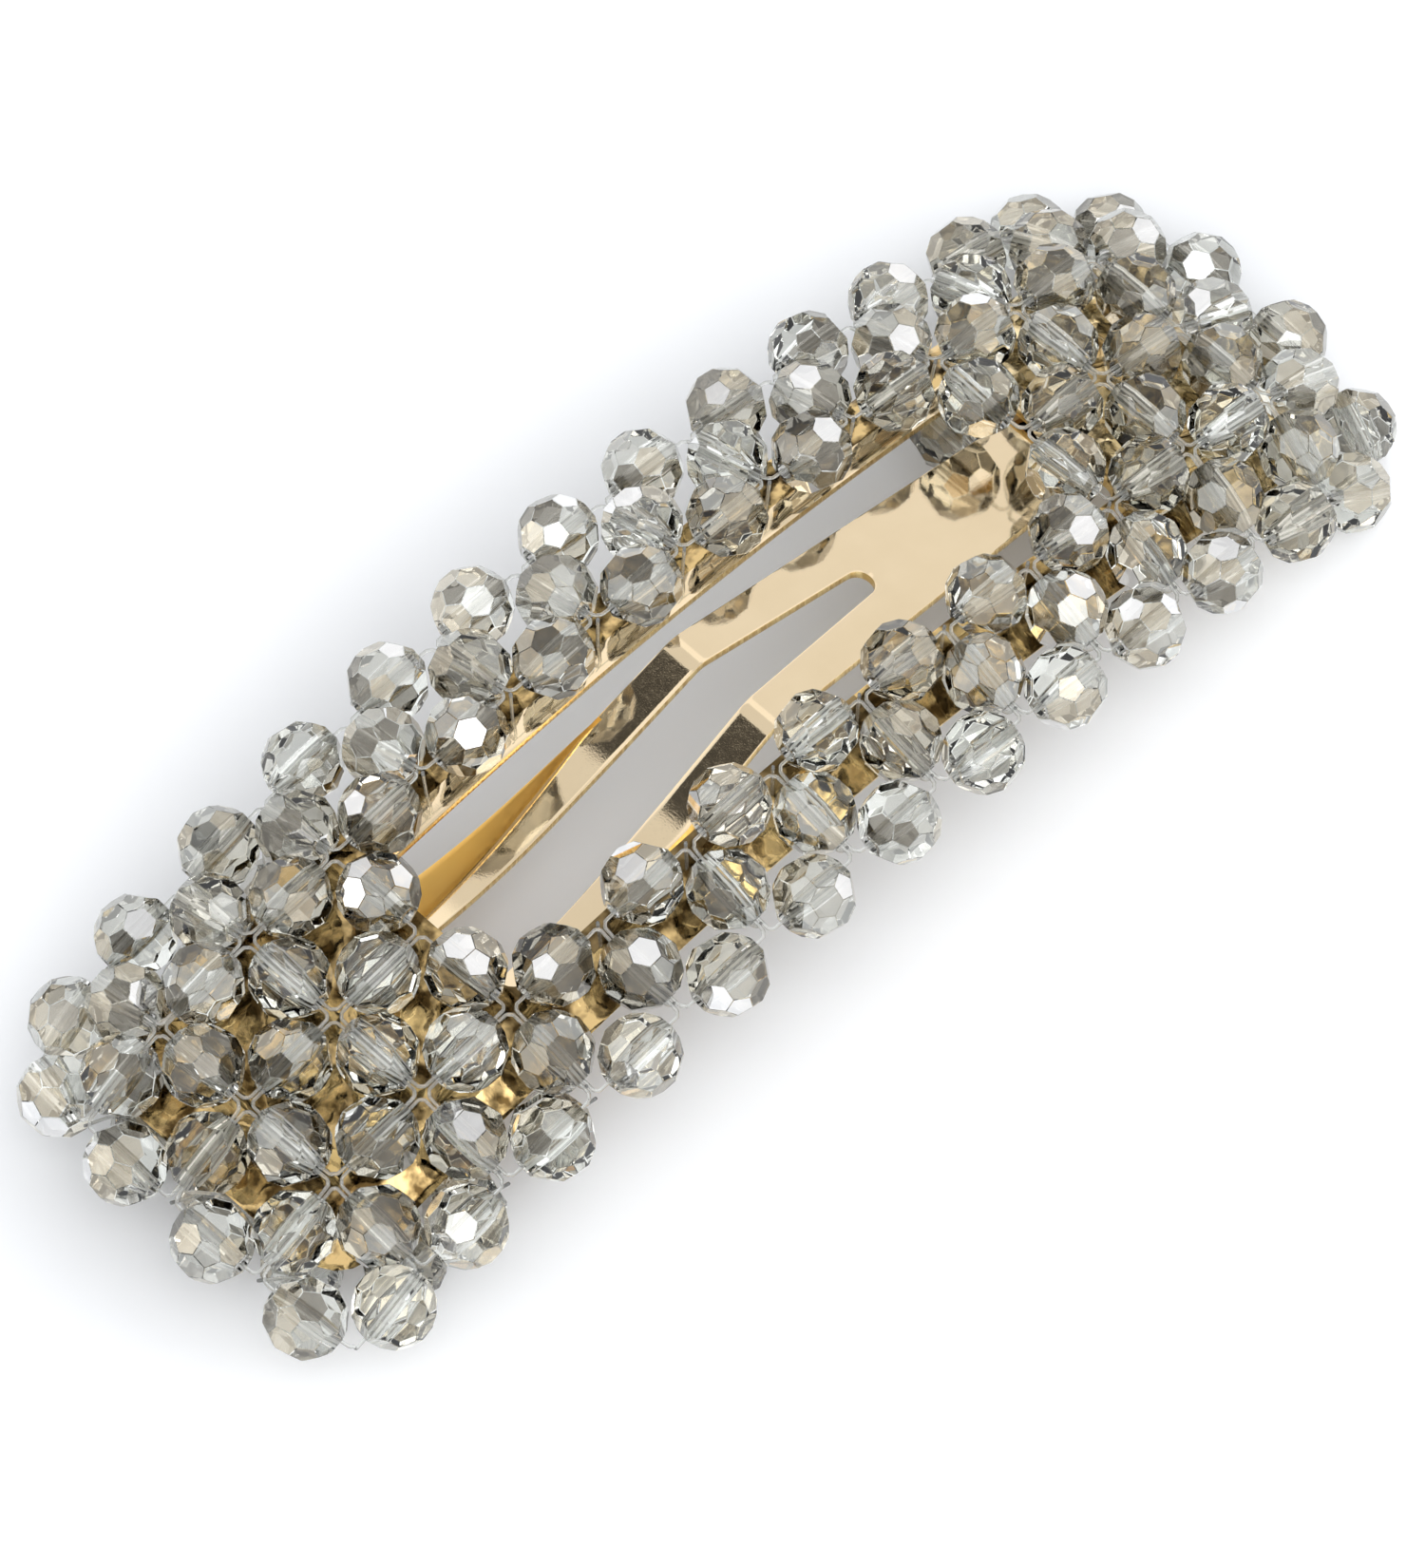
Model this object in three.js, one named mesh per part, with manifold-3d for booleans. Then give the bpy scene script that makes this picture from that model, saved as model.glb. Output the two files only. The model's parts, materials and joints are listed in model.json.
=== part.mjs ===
// Beaded snap hair clip: a gold-plated sprung sheet-metal clip carrying a carpet of faceted
// round glass beads in right-angle weave. Millimetres, +Z up. +X runs from the loose tail end to
// the head end, where the tongue is riveted; +Y is the left rail. The clip rests on its beads.
import * as THREE from "three";
import { mergeVertices } from "three/addons/utils/BufferGeometryUtils.js";
import Module from "manifold-3d";

const wasm = await Module();
wasm.setup();

// ---------- driving dimensions ----------
const BEAD = 5.0; // faceted bead, nominal diameter
const BEAD_SOLID = 4.84; // diameter over the corners of the plain bead solid
const CELL = BEAD * Math.SQRT2; // side of one square cell of the weave
const CELLS_LONG = 13;
const CELLS_WIDE = 4;
const TAIL_LINES = 3; // cells of the full carpet at the tail, and again at the head
const DEGREE = Math.PI / 180;

const ARCH_RADIUS = 149; // along the clip, at the bead centres
const END_FOLD = 15.4 * DEGREE; // extra slope of the last cell at each end
const DROOP_MIDDLE = 17 * DEGREE; // slope of the outer cells at mid length
const DROOP_ENDS = 30.7 * DEGREE;
const REST_PITCH = 2.3 * DEGREE; // the beads below the tail lift it by this much

const SHEET = 0.55; // thickness of the sheet metal
const GAP = 0.3; // clear space kept between separate pieces
const PLATE_DROP = BEAD_SOLID / 2 + GAP; // bead centres down to the top of the frame
const FRAME_HALF_LENGTH = 41.4;
const FRAME_HALF_WIDTH = 10.1;
const FRAME_CORNER = 4.0;
const WINDOW = { tail: -22.8, head: 27.5, half: 5.6, corner: 1.2 };

const THREAD = 0.4; // nylon thread
const THREAD_SIDES = 4;
const THREAD_STEP = { row: 7, loop: 1.7 }; // length of one straight stretch of thread
const CROSS_OVER = 0.9; // height of a cross thread above the row thread at a node
const UNDER_RUN = PLATE_DROP + SHEET + GAP + THREAD; // lashing below the bead centres
const UNDER_BEAD = { line: 10, across: 1.166 }; // bead threaded on the lashing below a rail
const UNDER_BEAD_DROP = PLATE_DROP + SHEET + GAP + BEAD_SOLID / 2;
const SKIRT_SIDE = { behind: 0.28, inside: 0.06 }; // beads below the tail's sides, in cells from a node
const SKIRT_END = { line: 0.18, across: [0.65, 2, 3.35] }; // beads below the tail's end
const SKIRT_KNOT = { behind: 0.1, lift: -0.55 }; // top of a skirt bead's thread, below its node

// Tongue, seen from the side: X stations and heights of its top below the apex bead centres.
const FLEX_X = 28.6; // line where the free tongue leaves its riveted root
const ROOT = { end: 36.3, half: 5.3, corner: 1.5 };
const BEND = { x: -0.3, z: -2.2 };
const KNEE = { x: -14.5, z: -7.8 };
const LEVEL = { x: -20, z: -8.75 };
const TIP = { x: -33.5, z: -9.3 };
// Tongue, seen from above: half widths.
const EDGE = { flex: 3.0, foldStart: 4.45, widest: 6.3 };
const FOLD_START_X = -6; // the outer margins fold down from here to the tip
const FOLD_END = { x: -24.6, half: 3.3 };
const FLANGE_FALL = Math.tan(20 * DEGREE);
const TIP_ROUND = 4.2;
const SLOT = { head: 11, headHalf: 0.95, bendHalf: 1.8, tail: -24.6, tailHalf: 2.55, corner: 1.1 };

const RIVET = { shank: 0.7, head: 1.45, rise: 0.4, line: 11.5, across: [1.5, 2.5] };
const RIVET_HOLE = RIVET.shank + GAP;
const ROUND_SIDES = 8;

// ---------- materials ----------
const gold = new THREE.MeshStandardMaterial({ color: 0xe6c98f, roughness: 0.14, metalness: 1 });
const goldRivet = new THREE.MeshStandardMaterial({ color: 0xd8b060, roughness: 0.25, metalness: 1 });
const glass = new THREE.MeshStandardMaterial({ color: 0xb9bab2, roughness: 0.06, metalness: 0.3 });
const smokedGlass = new THREE.MeshStandardMaterial({ color: 0x9c988c, roughness: 0.06, metalness: 0.4 });

// ---------- solids ----------
function toSolid(geometry) {
  const bare = new THREE.BufferGeometry();
  bare.setAttribute("position", geometry.getAttribute("position").clone());
  if (geometry.index) bare.setIndex(geometry.index.clone());
  const merged = mergeVertices(bare, 1e-5);
  const shape = new wasm.Mesh({
    numProp: 3,
    vertProperties: new Float32Array(merged.getAttribute("position").array),
    triVerts: new Uint32Array(merged.index.array),
  });
  return new wasm.Manifold(shape);
}

function toGeometry(solid) {
  const mesh = solid.getMesh();
  const geometry = new THREE.BufferGeometry();
  geometry.setAttribute("position", new THREE.BufferAttribute(mesh.vertProperties, 3));
  geometry.setIndex(new THREE.BufferAttribute(mesh.triVerts, 1));
  geometry.computeVertexNormals();
  return geometry;
}

function join(solids) {
  return solids.reduce((all, next) => all.add(next));
}

// Closed slab between an upper and a lower grid of points; rows run towards +Y, columns to +X.
function slab(columns, rows, upperPoint, lowerPoint) {
  const positions = [];
  for (const point of [upperPoint, lowerPoint]) {
    for (let c = 0; c < columns; c += 1) {
      for (let r = 0; r < rows; r += 1) positions.push(...point(c, r).toArray());
    }
  }
  const upper = (c, r) => c * rows + r;
  const lower = (c, r) => (columns + c) * rows + r;
  const index = [];
  const quad = (a, b, c, d) => index.push(a, b, c, a, c, d);
  const lastColumn = columns - 1;
  const lastRow = rows - 1;
  for (let c = 0; c < lastColumn; c += 1) {
    for (let r = 0; r < lastRow; r += 1) {
      quad(upper(c, r), upper(c + 1, r), upper(c + 1, r + 1), upper(c, r + 1));
      quad(lower(c, r), lower(c, r + 1), lower(c + 1, r + 1), lower(c + 1, r));
    }
    quad(lower(c, 0), lower(c + 1, 0), upper(c + 1, 0), upper(c, 0));
    quad(upper(c, lastRow), upper(c + 1, lastRow), lower(c + 1, lastRow), lower(c, lastRow));
  }
  for (let r = 0; r < lastRow; r += 1) {
    quad(upper(0, r), upper(0, r + 1), lower(0, r + 1), lower(0, r));
    const near = [lower(lastColumn, r), lower(lastColumn, r + 1)];
    quad(near[0], near[1], upper(lastColumn, r + 1), upper(lastColumn, r));
  }
  const geometry = new THREE.BufferGeometry();
  geometry.setAttribute("position", new THREE.Float32BufferAttribute(positions, 3));
  geometry.setIndex(index);
  return toSolid(geometry);
}

// Vertical prism on a plan outline, tall enough to cut any sheet of the clip.
function prism(shape, curveSegments) {
  const depth = 60;
  const geometry = new THREE.ExtrudeGeometry(shape, { depth, bevelEnabled: false, curveSegments });
  geometry.translate(0, 0, -depth / 2);
  return toSolid(geometry);
}

function roundedRectangle(x0, x1, half, radius) {
  const shape = new THREE.Shape();
  const quarter = Math.PI / 2;
  shape.absarc(x1 - radius, radius - half, radius, -quarter, 0);
  shape.absarc(x1 - radius, half - radius, radius, 0, quarter);
  shape.absarc(x0 + radius, half - radius, radius, quarter, 2 * quarter);
  shape.absarc(x0 + radius, radius - half, radius, 2 * quarter, 3 * quarter);
  shape.closePath();
  return shape;
}

// ---------- the bent surface that the weave and the frame follow ----------
const HALF_LONG = CELLS_LONG / 2;
const HALF_WIDE = CELLS_WIDE / 2;
const STRAIGHT_FROM = HALF_LONG - 1;

function droopAt(along) {
  const share = Math.abs(along - HALF_LONG) / HALF_LONG;
  return DROOP_MIDDLE + (DROOP_ENDS - DROOP_MIDDLE) * share * share;
}

// Slope along the clip, the same on both sides of the middle.
function slopeAt(along) {
  const s = Math.abs(along - HALF_LONG);
  return (Math.min(s, STRAIGHT_FROM) * CELL) / ARCH_RADIUS + (s > STRAIGHT_FROM ? END_FOLD : 0);
}

// Point over cell line `along` (0 tail, 13 head) and `across` (0 left, 4 right), `lift` mm proud.
function onCarpet(along, across, lift = 0) {
  const s = along - HALF_LONG;
  const arc = (Math.min(Math.abs(s), STRAIGHT_FROM) * CELL) / ARCH_RADIUS;
  const beyond = Math.max(0, Math.abs(s) - STRAIGHT_FROM) * CELL;
  const slope = slopeAt(along);
  const t = HALF_WIDE - across;
  const outside = Math.max(0, Math.abs(t) - 1) * CELL;
  const droop = outside > 0 ? droopAt(along) : 0;
  const inside = Math.min(Math.abs(t), 1) * CELL;
  const half = inside + outside * Math.cos(droop) + lift * Math.sin(droop);
  const rise = lift * Math.cos(droop) - outside * Math.sin(droop);
  const x = ARCH_RADIUS * Math.sin(arc) + beyond * Math.cos(slope) + rise * Math.sin(slope);
  const z = ARCH_RADIUS * (Math.cos(arc) - 1) - beyond * Math.sin(slope) + rise * Math.cos(slope);
  return new THREE.Vector3(Math.sign(s) * x, Math.sign(t) * half, z);
}

// Height of the layer `lift` mm over the bead centres on the centre line, at a given X.
function layerHeight(x, lift) {
  let low = 0;
  let high = CELLS_LONG;
  for (let step = 0; step < 40; step += 1) {
    const middle = (low + high) / 2;
    if (onCarpet(middle, HALF_WIDE, lift).x < x) low = middle;
    else high = middle;
  }
  return onCarpet(low, HALF_WIDE, lift).z;
}

// ---------- frame ----------
const SHEET_STATIONS = 11;

function rivetMatrix(across) {
  const place = onCarpet(RIVET.line, across, -PLATE_DROP);
  const lean = new THREE.Matrix4().makeRotationY(slopeAt(RIVET.line));
  return lean.setPosition(place);
}

function rivetHoles() {
  const length = 12;
  const holes = RIVET.across.map((across) => {
    const hole = new THREE.CylinderGeometry(RIVET_HOLE, RIVET_HOLE, length, ROUND_SIDES);
    return toSolid(hole.rotateX(Math.PI / 2).applyMatrix4(rivetMatrix(across)));
  });
  return join(holes);
}

function frame() {
  const lines = [0];
  for (let n = 0; n <= SHEET_STATIONS; n += 1) lines.push(1 + ((CELLS_LONG - 2) * n) / SHEET_STATIONS);
  lines.push(CELLS_LONG);
  const across = [CELLS_WIDE, CELLS_WIDE - 1, 1, 0];
  const layer = (lift) => (c, r) => onCarpet(lines[c], across[r], lift);
  const bent = slab(lines.length, across.length, layer(-PLATE_DROP), layer(-PLATE_DROP - SHEET));
  const outline = roundedRectangle(-FRAME_HALF_LENGTH, FRAME_HALF_LENGTH, FRAME_HALF_WIDTH, FRAME_CORNER);
  const opening = roundedRectangle(WINDOW.tail, WINDOW.head, WINDOW.half, WINDOW.corner);
  return bent.intersect(prism(outline, 3)).subtract(prism(opening, 2)).subtract(rivetHoles());
}

// ---------- tongue ----------
const between = (x, from, to) => from.z + ((x - from.x) * (to.z - from.z)) / (to.x - from.x);
const rootTop = (x) => layerHeight(x, -PLATE_DROP - SHEET - GAP);
const FLEX = { x: FLEX_X, z: rootTop(FLEX_X) };

function tongueTop(x) {
  if (x > FLEX.x) return rootTop(x);
  if (x > BEND.x) return between(x, BEND, FLEX);
  if (x > KNEE.x) return between(x, KNEE, BEND);
  if (x > LEVEL.x) return between(x, LEVEL, KNEE);
  return between(x, TIP, LEVEL);
}

// Half width where the flange starts: the tongue's own edge until the fold begins.
function foldHalf(x) {
  if (x > FOLD_START_X) return EDGE.widest;
  const share = (FOLD_START_X - x) / (FOLD_START_X - FOLD_END.x);
  return EDGE.foldStart + (FOLD_END.half - EDGE.foldStart) * Math.min(1, share);
}

function tongueSheet(stations) {
  const rows = [-1, -0.5, 0.5, 1];
  const wide = EDGE.widest + 1;
  const point = (drop) => (c, r) => {
    const x = stations[c];
    const fold = foldHalf(x);
    const y = Math.abs(rows[r]) === 1 ? rows[r] * wide : 2 * rows[r] * fold;
    const folded = x > FOLD_START_X ? 0 : FLANGE_FALL * Math.max(0, Math.abs(y) - fold);
    return new THREE.Vector3(x, y, tongueTop(x) - folded - drop);
  };
  return slab(stations.length, rows.length, point(0), point(SHEET));
}

function tongueOutline() {
  const shape = new THREE.Shape();
  const start = FLEX_X - GAP / 2;
  shape.moveTo(start, -EDGE.flex);
  shape.lineTo(start, EDGE.flex);
  shape.lineTo(FOLD_START_X, EDGE.foldStart);
  shape.lineTo(LEVEL.x, EDGE.widest);
  shape.lineTo(TIP.x + TIP_ROUND, EDGE.widest);
  shape.absellipse(TIP.x + TIP_ROUND, 0, TIP_ROUND, EDGE.widest, Math.PI / 2, Math.PI * 1.5);
  shape.lineTo(LEVEL.x, -EDGE.widest);
  shape.lineTo(FOLD_START_X, -EDGE.foldStart);
  shape.closePath();
  return shape;
}

function slotOutline() {
  const { head, headHalf, bendHalf, tail, tailHalf, corner } = SLOT;
  const shape = new THREE.Shape();
  const quarter = Math.PI / 2;
  shape.absarc(head, 0, headHalf, -quarter, quarter);
  shape.lineTo(BEND.x, bendHalf);
  shape.absarc(tail + corner, tailHalf - corner, corner, quarter, 2 * quarter);
  shape.absarc(tail + corner, corner - tailHalf, corner, 2 * quarter, 3 * quarter);
  shape.lineTo(BEND.x, -bendHalf);
  shape.closePath();
  return shape;
}

function tongue() {
  const stations = [TIP.x - 1, SLOT.tail, LEVEL.x, KNEE.x, FOLD_START_X, BEND.x, SLOT.head, FLEX_X];
  const sheet = tongueSheet(stations);
  return sheet.intersect(prism(tongueOutline(), 5)).subtract(prism(slotOutline(), 3));
}

function tongueRoot() {
  const stations = [FLEX_X, 30.5, 32.5, 34.5, ROOT.end + 1];
  const outline = roundedRectangle(FLEX_X + GAP / 2, ROOT.end, ROOT.half, ROOT.corner);
  return tongueSheet(stations).intersect(prism(outline, 3)).subtract(rivetHoles());
}

function rivet(across) {
  const { shank, head, rise } = RIVET;
  const upper = GAP;
  const lower = -SHEET - GAP - SHEET - GAP;
  const profile = [
    [0, lower - rise],
    [head * 0.65, lower - rise * 0.8],
    [head, lower],
    [shank, lower],
    [shank, upper],
    [head, upper],
    [head * 0.65, upper + rise * 0.8],
    [0, upper + rise],
  ].map(([radius, height]) => new THREE.Vector2(radius, height));
  const turned = new THREE.LatheGeometry(profile, ROUND_SIDES).rotateX(Math.PI / 2);
  return toSolid(turned.applyMatrix4(rivetMatrix(across)));
}

// ---------- beads and thread ----------
function bead(centre) {
  const geometry = new THREE.DodecahedronGeometry(BEAD_SOLID / 2);
  return toSolid(geometry.translate(centre.x, centre.y, centre.z));
}

function thread(points, stretch) {
  const section = new THREE.Shape();
  for (let n = 0; n < THREAD_SIDES; n += 1) {
    const angle = (2 * Math.PI * n) / THREAD_SIDES;
    const corner = new THREE.Vector2(Math.cos(angle), Math.sin(angle)).multiplyScalar(THREAD / 2);
    if (n === 0) section.moveTo(corner.x, corner.y);
    else section.lineTo(corner.x, corner.y);
  }
  section.closePath();
  const extrudePath = new THREE.CatmullRomCurve3(points, false, "centripetal");
  const steps = Math.ceil(extrudePath.getLength() / stretch);
  return toSolid(new THREE.ExtrudeGeometry(section, { steps, extrudePath, bevelEnabled: false }));
}

// Beads strung along the clip on cell line `across`, between two node lines.
function rowStrand(across, from, to) {
  const beads = [];
  const route = [onCarpet(from, across)];
  for (let line = from; line < to; line += 1) {
    const centre = onCarpet(line + 0.5, across);
    beads.push(bead(centre));
    route.push(centre, onCarpet(line + 1, across));
  }
  return join([thread(route, THREAD_STEP.row), ...beads]);
}

// Route points, as [across, lift], of the lashing round the outer edge of the sheet: from the
// node down past the edge to the under side. `side` is 0 for the left edge and 4 for the right.
function outerTurn(side, underRun) {
  const step = side === 0 ? 1 : -1;
  return [
    [side, CROSS_OVER],
    [side - 0.17 * step, 0.3],
    [side + 0.19 * step, -1.95],
    [side + 0.22 * step, -3.05],
    [side + 0.27 * step, -underRun],
    [side + 0.5 * step, -underRun],
  ];
}

// The same round the inner edge of a rail, from the under side up to the node.
function innerTurn(node, underRun) {
  const step = node === 1 ? 1 : -1;
  return [
    [node + 0.05 * step, -underRun],
    [node + 0.27 * step, -underRun],
    [node + 0.33 * step, -3.0],
    [node + 0.2 * step, -1.4],
    [node + 0.17 * step, 0.3],
    [node, CROSS_OVER],
  ];
}

function strung(line, acrossBeads, route) {
  const beads = acrossBeads.map((across) => bead(onCarpet(line, across)));
  const path = route.map(([across, lift]) => onCarpet(line, across, lift));
  return join([thread(path, THREAD_STEP.loop), ...beads]);
}

// Beads and crossings of a full line, from node 0 to node 4 without its ends.
const FULL_LINE = [0.5, 1.5, 2.5, 3.5];
const overTheTop = [
  [1, CROSS_OVER],
  [1.5, 0],
  [2, CROSS_OVER],
  [2.5, 0],
  [3, CROSS_OVER],
  [3.5, 0],
];

// Cross line of four beads, lashed right round the plate.
function plateLine(line, underRun) {
  const under = [3, 2, 1].map((across) => [across, -underRun]);
  const back = outerTurn(0, underRun).reverse();
  const start = [0.58, 0];
  const end = [0.42, 0];
  const route = [start, ...overTheTop, ...outerTurn(4, underRun), ...under, ...back, end];
  return strung(line, FULL_LINE, route);
}

// Cross line past the end of the plate: straight through its beads.
function endLine(line) {
  const route = [[0, CROSS_OVER], [0.5, 0], ...overTheTop, [4, CROSS_OVER]];
  return strung(line, FULL_LINE, route);
}

// Cross line over the head end of the window, lashed round both rails, with one bead below.
function windowLine(line) {
  const left = innerTurn(1, UNDER_RUN).reverse().slice(1, 4);
  const belowRail = [
    [UNDER_BEAD.across, -UNDER_BEAD_DROP],
    [0.75, -UNDER_BEAD_DROP],
  ];
  const leftOut = outerTurn(0, UNDER_RUN).reverse();
  const right = [...outerTurn(4, UNDER_RUN), ...innerTurn(3, UNDER_RUN).slice(0, 5)];
  const route = [...left, ...belowRail, ...leftOut, [0.5, 0], ...overTheTop, ...right];
  const below = bead(onCarpet(line, UNDER_BEAD.across, -UNDER_BEAD_DROP));
  return strung(line, FULL_LINE, route).add(below);
}

// One cross bead on a rail, lashed round that rail.
function railLoop(line, left) {
  const outer = left ? 0 : 4;
  const inner = left ? 1 : 3;
  const middle = (outer + inner) / 2;
  const step = left ? 1 : -1;
  const up = innerTurn(inner, UNDER_RUN).reverse();
  const down = outerTurn(outer, UNDER_RUN).reverse();
  const route = [[middle + 0.08 * step, 0], ...up, ...down, [middle - 0.08 * step, 0]];
  return strung(line, [middle], route);
}

// Bead of the skirt below the tail plate, on a thread that comes down outside the plate's edge.
function skirtBead(place, across, knotLine, knotAcross) {
  const centre = onCarpet(place, across, -UNDER_BEAD_DROP);
  const knot = onCarpet(knotLine, knotAcross, SKIRT_KNOT.lift);
  return join([bead(centre), thread([centre, knot], THREAD_STEP.row)]);
}

function sideSkirt(line, left) {
  const across = left ? SKIRT_SIDE.inside : CELLS_WIDE - SKIRT_SIDE.inside;
  const knotAcross = left ? 0 : CELLS_WIDE;
  return skirtBead(line - SKIRT_SIDE.behind, across, line - SKIRT_KNOT.behind, knotAcross);
}

function endSkirt(across) {
  return skirtBead(SKIRT_END.line, across, 0, Math.round(across));
}

// ---------- assembly ----------
const clip = new THREE.Group();
const resting = new THREE.Group();
resting.rotation.y = REST_PITCH;
clip.add(resting);

function piece(name, solid, material) {
  const mesh = new THREE.Mesh(toGeometry(solid), material);
  mesh.name = name;
  resting.add(mesh);
}

piece("frame", frame(), gold);
piece("tongue", tongue(), gold);
piece("tongue_root", tongueRoot(), gold);
piece("rivet_left", rivet(RIVET.across[0]), goldRivet);
piece("rivet_right", rivet(RIVET.across[1]), goldRivet);

const headLine = CELLS_LONG - TAIL_LINES;
piece("row_left_outer", rowStrand(0, 0, CELLS_LONG), glass);
piece("row_left_inner", rowStrand(1, 0, CELLS_LONG), glass);
piece("row_right_inner", rowStrand(3, 0, CELLS_LONG), glass);
piece("row_right_outer", rowStrand(4, 0, CELLS_LONG), glass);
piece("row_centre_tail", rowStrand(2, 0, TAIL_LINES), glass);
piece("row_centre_head", rowStrand(2, headLine, CELLS_LONG), glass);

const underRoot = UNDER_RUN + SHEET + GAP;
for (let line = 0; line <= CELLS_LONG; line += 1) {
  const label = String(line).padStart(2, "0");
  if (line === 0 || line === CELLS_LONG) piece(`cross_${label}`, endLine(line), smokedGlass);
  else if (line === UNDER_BEAD.line) piece(`cross_${label}`, windowLine(line), smokedGlass);
  else if (line <= TAIL_LINES) piece(`cross_${label}`, plateLine(line, UNDER_RUN), smokedGlass);
  else if (line === headLine + 1) piece(`cross_${label}`, plateLine(line, underRoot), smokedGlass);
  else if (line > headLine) piece(`cross_${label}`, plateLine(line, UNDER_RUN), smokedGlass);
  else {
    piece(`cross_${label}_left`, railLoop(line, true), smokedGlass);
    piece(`cross_${label}_right`, railLoop(line, false), smokedGlass);
  }
}

piece("skirt_end_left", endSkirt(SKIRT_END.across[0]), smokedGlass);
piece("skirt_end_middle", endSkirt(SKIRT_END.across[1]), smokedGlass);
piece("skirt_end_right", endSkirt(SKIRT_END.across[2]), smokedGlass);
for (let line = 1; line <= TAIL_LINES; line += 1) {
  piece(`skirt_left_${line}`, sideSkirt(line, true), smokedGlass);
  piece(`skirt_right_${line}`, sideSkirt(line, false), smokedGlass);
}

// The origin is the middle of the under side of the whole clip.
clip.updateMatrixWorld(true);
const box = new THREE.Box3();
resting.children.forEach((mesh) => box.expandByObject(mesh, true));
const middle = box.getCenter(new THREE.Vector3());
clip.position.set(-middle.x, -middle.y, -box.min.z);

export default clip;
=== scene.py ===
# Looks of the beaded snap hair clip: polished gold sheet, faceted half-coated glass beads and nylon.
# Sizes are in millimetres in the weave's own frame (origin at the middle of the bead carpet, +X to the
# head end, +Y to the left rail) until at_rest() turns them into metres in the frame of the CAD model.
import json
import math
import random

import bmesh
import bpy
from mathutils import Matrix, Vector


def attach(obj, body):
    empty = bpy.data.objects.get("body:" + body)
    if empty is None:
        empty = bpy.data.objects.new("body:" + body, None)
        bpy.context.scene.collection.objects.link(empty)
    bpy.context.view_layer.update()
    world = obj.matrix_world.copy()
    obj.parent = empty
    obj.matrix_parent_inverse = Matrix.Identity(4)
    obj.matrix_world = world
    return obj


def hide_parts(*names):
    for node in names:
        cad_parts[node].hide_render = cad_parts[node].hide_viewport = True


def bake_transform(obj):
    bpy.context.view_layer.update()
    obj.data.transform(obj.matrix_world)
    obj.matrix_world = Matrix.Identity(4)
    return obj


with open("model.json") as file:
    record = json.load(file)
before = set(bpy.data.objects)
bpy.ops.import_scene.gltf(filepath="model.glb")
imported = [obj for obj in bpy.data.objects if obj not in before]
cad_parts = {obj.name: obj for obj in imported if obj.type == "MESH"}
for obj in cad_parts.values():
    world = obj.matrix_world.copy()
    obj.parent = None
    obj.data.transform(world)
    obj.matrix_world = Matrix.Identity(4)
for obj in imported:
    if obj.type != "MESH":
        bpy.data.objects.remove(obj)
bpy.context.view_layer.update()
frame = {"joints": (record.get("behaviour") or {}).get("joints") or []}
chance = random.Random(11)  # one fixed seed, so that each run gives the same beads

# ---------- driving dimensions ----------
MM = 0.001
BEAD_NOMINAL = 5.0
BEAD = 4.94  # diameter over the corners of a cut bead
CELL = BEAD_NOMINAL * math.sqrt(2)  # side of one square cell of the weave
CELLS_LONG = 13
CELLS_WIDE = 4
TAIL_LINES = 3  # cells along the closed tail end, and along the head end
HEAD_LINE = CELLS_LONG - TAIL_LINES
ARCH_RADIUS = 149.0  # along the clip, at the bead centres
END_FOLD = math.radians(15.4)  # of the last cell at each end
DROOP_MIDDLE = math.radians(17.0)  # of the rails at mid clip
DROOP_ENDS = math.radians(30.7)
REST_PITCH = math.radians(2.3)  # of the clip when it lies on the floor
SHEET = 0.55
GAP = 0.3  # between parts that lie on each other
PLATE_DROP = 2.72  # bead centres down to the top of the frame
FRAME_HALF_LENGTH = 41.4
FRAME_HALF_WIDTH = 10.1
FRAME_CORNER = 4.0
WINDOW_TAIL = -22.8
WINDOW_HEAD = 27.5
WINDOW_HALF = 5.6
WINDOW_CORNER = 1.2
FLEX_X = 28.6  # line where the free tongue leaves its riveted root
UNDER_BEAD_LINE = 10
UNDER_BEAD_ACROSS = 1.166
UNDER_BEAD_DROP = 5.99  # bead centres down to the centre of a bead below the frame
UNDER_BEAD_AHEAD = 0.2  # cells that it has slid along its slack thread
UNDER_BEAD_AXIS = (0.0, 1.0, 0.2)
SKIRT_BEHIND = 0.28  # cells from a node line to the bead below a side of the tail
SKIRT_INSIDE = 0.06  # cells from the outer cell line to that bead
SKIRT_END_LINE = 0.18  # cells from the tail's last line to the beads below it
SKIRT_END_ACROSS = (0.65, 2.0, 3.35)
RIVET_LINE = 11.5
RIVET_ACROSS = (1.5, 2.5)

# ---------- the bent surface ----------
HALF_LONG = CELLS_LONG / 2
HALF_WIDE = CELLS_WIDE / 2
STRAIGHT_FROM = HALF_LONG - 1


def droop_at(along):
    """How steeply a rail slopes down at cell line `along`: least at mid clip, most at the ends."""
    share = abs(along - HALF_LONG) / HALF_LONG
    return DROOP_MIDDLE + (DROOP_ENDS - DROOP_MIDDLE) * share * share


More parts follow.
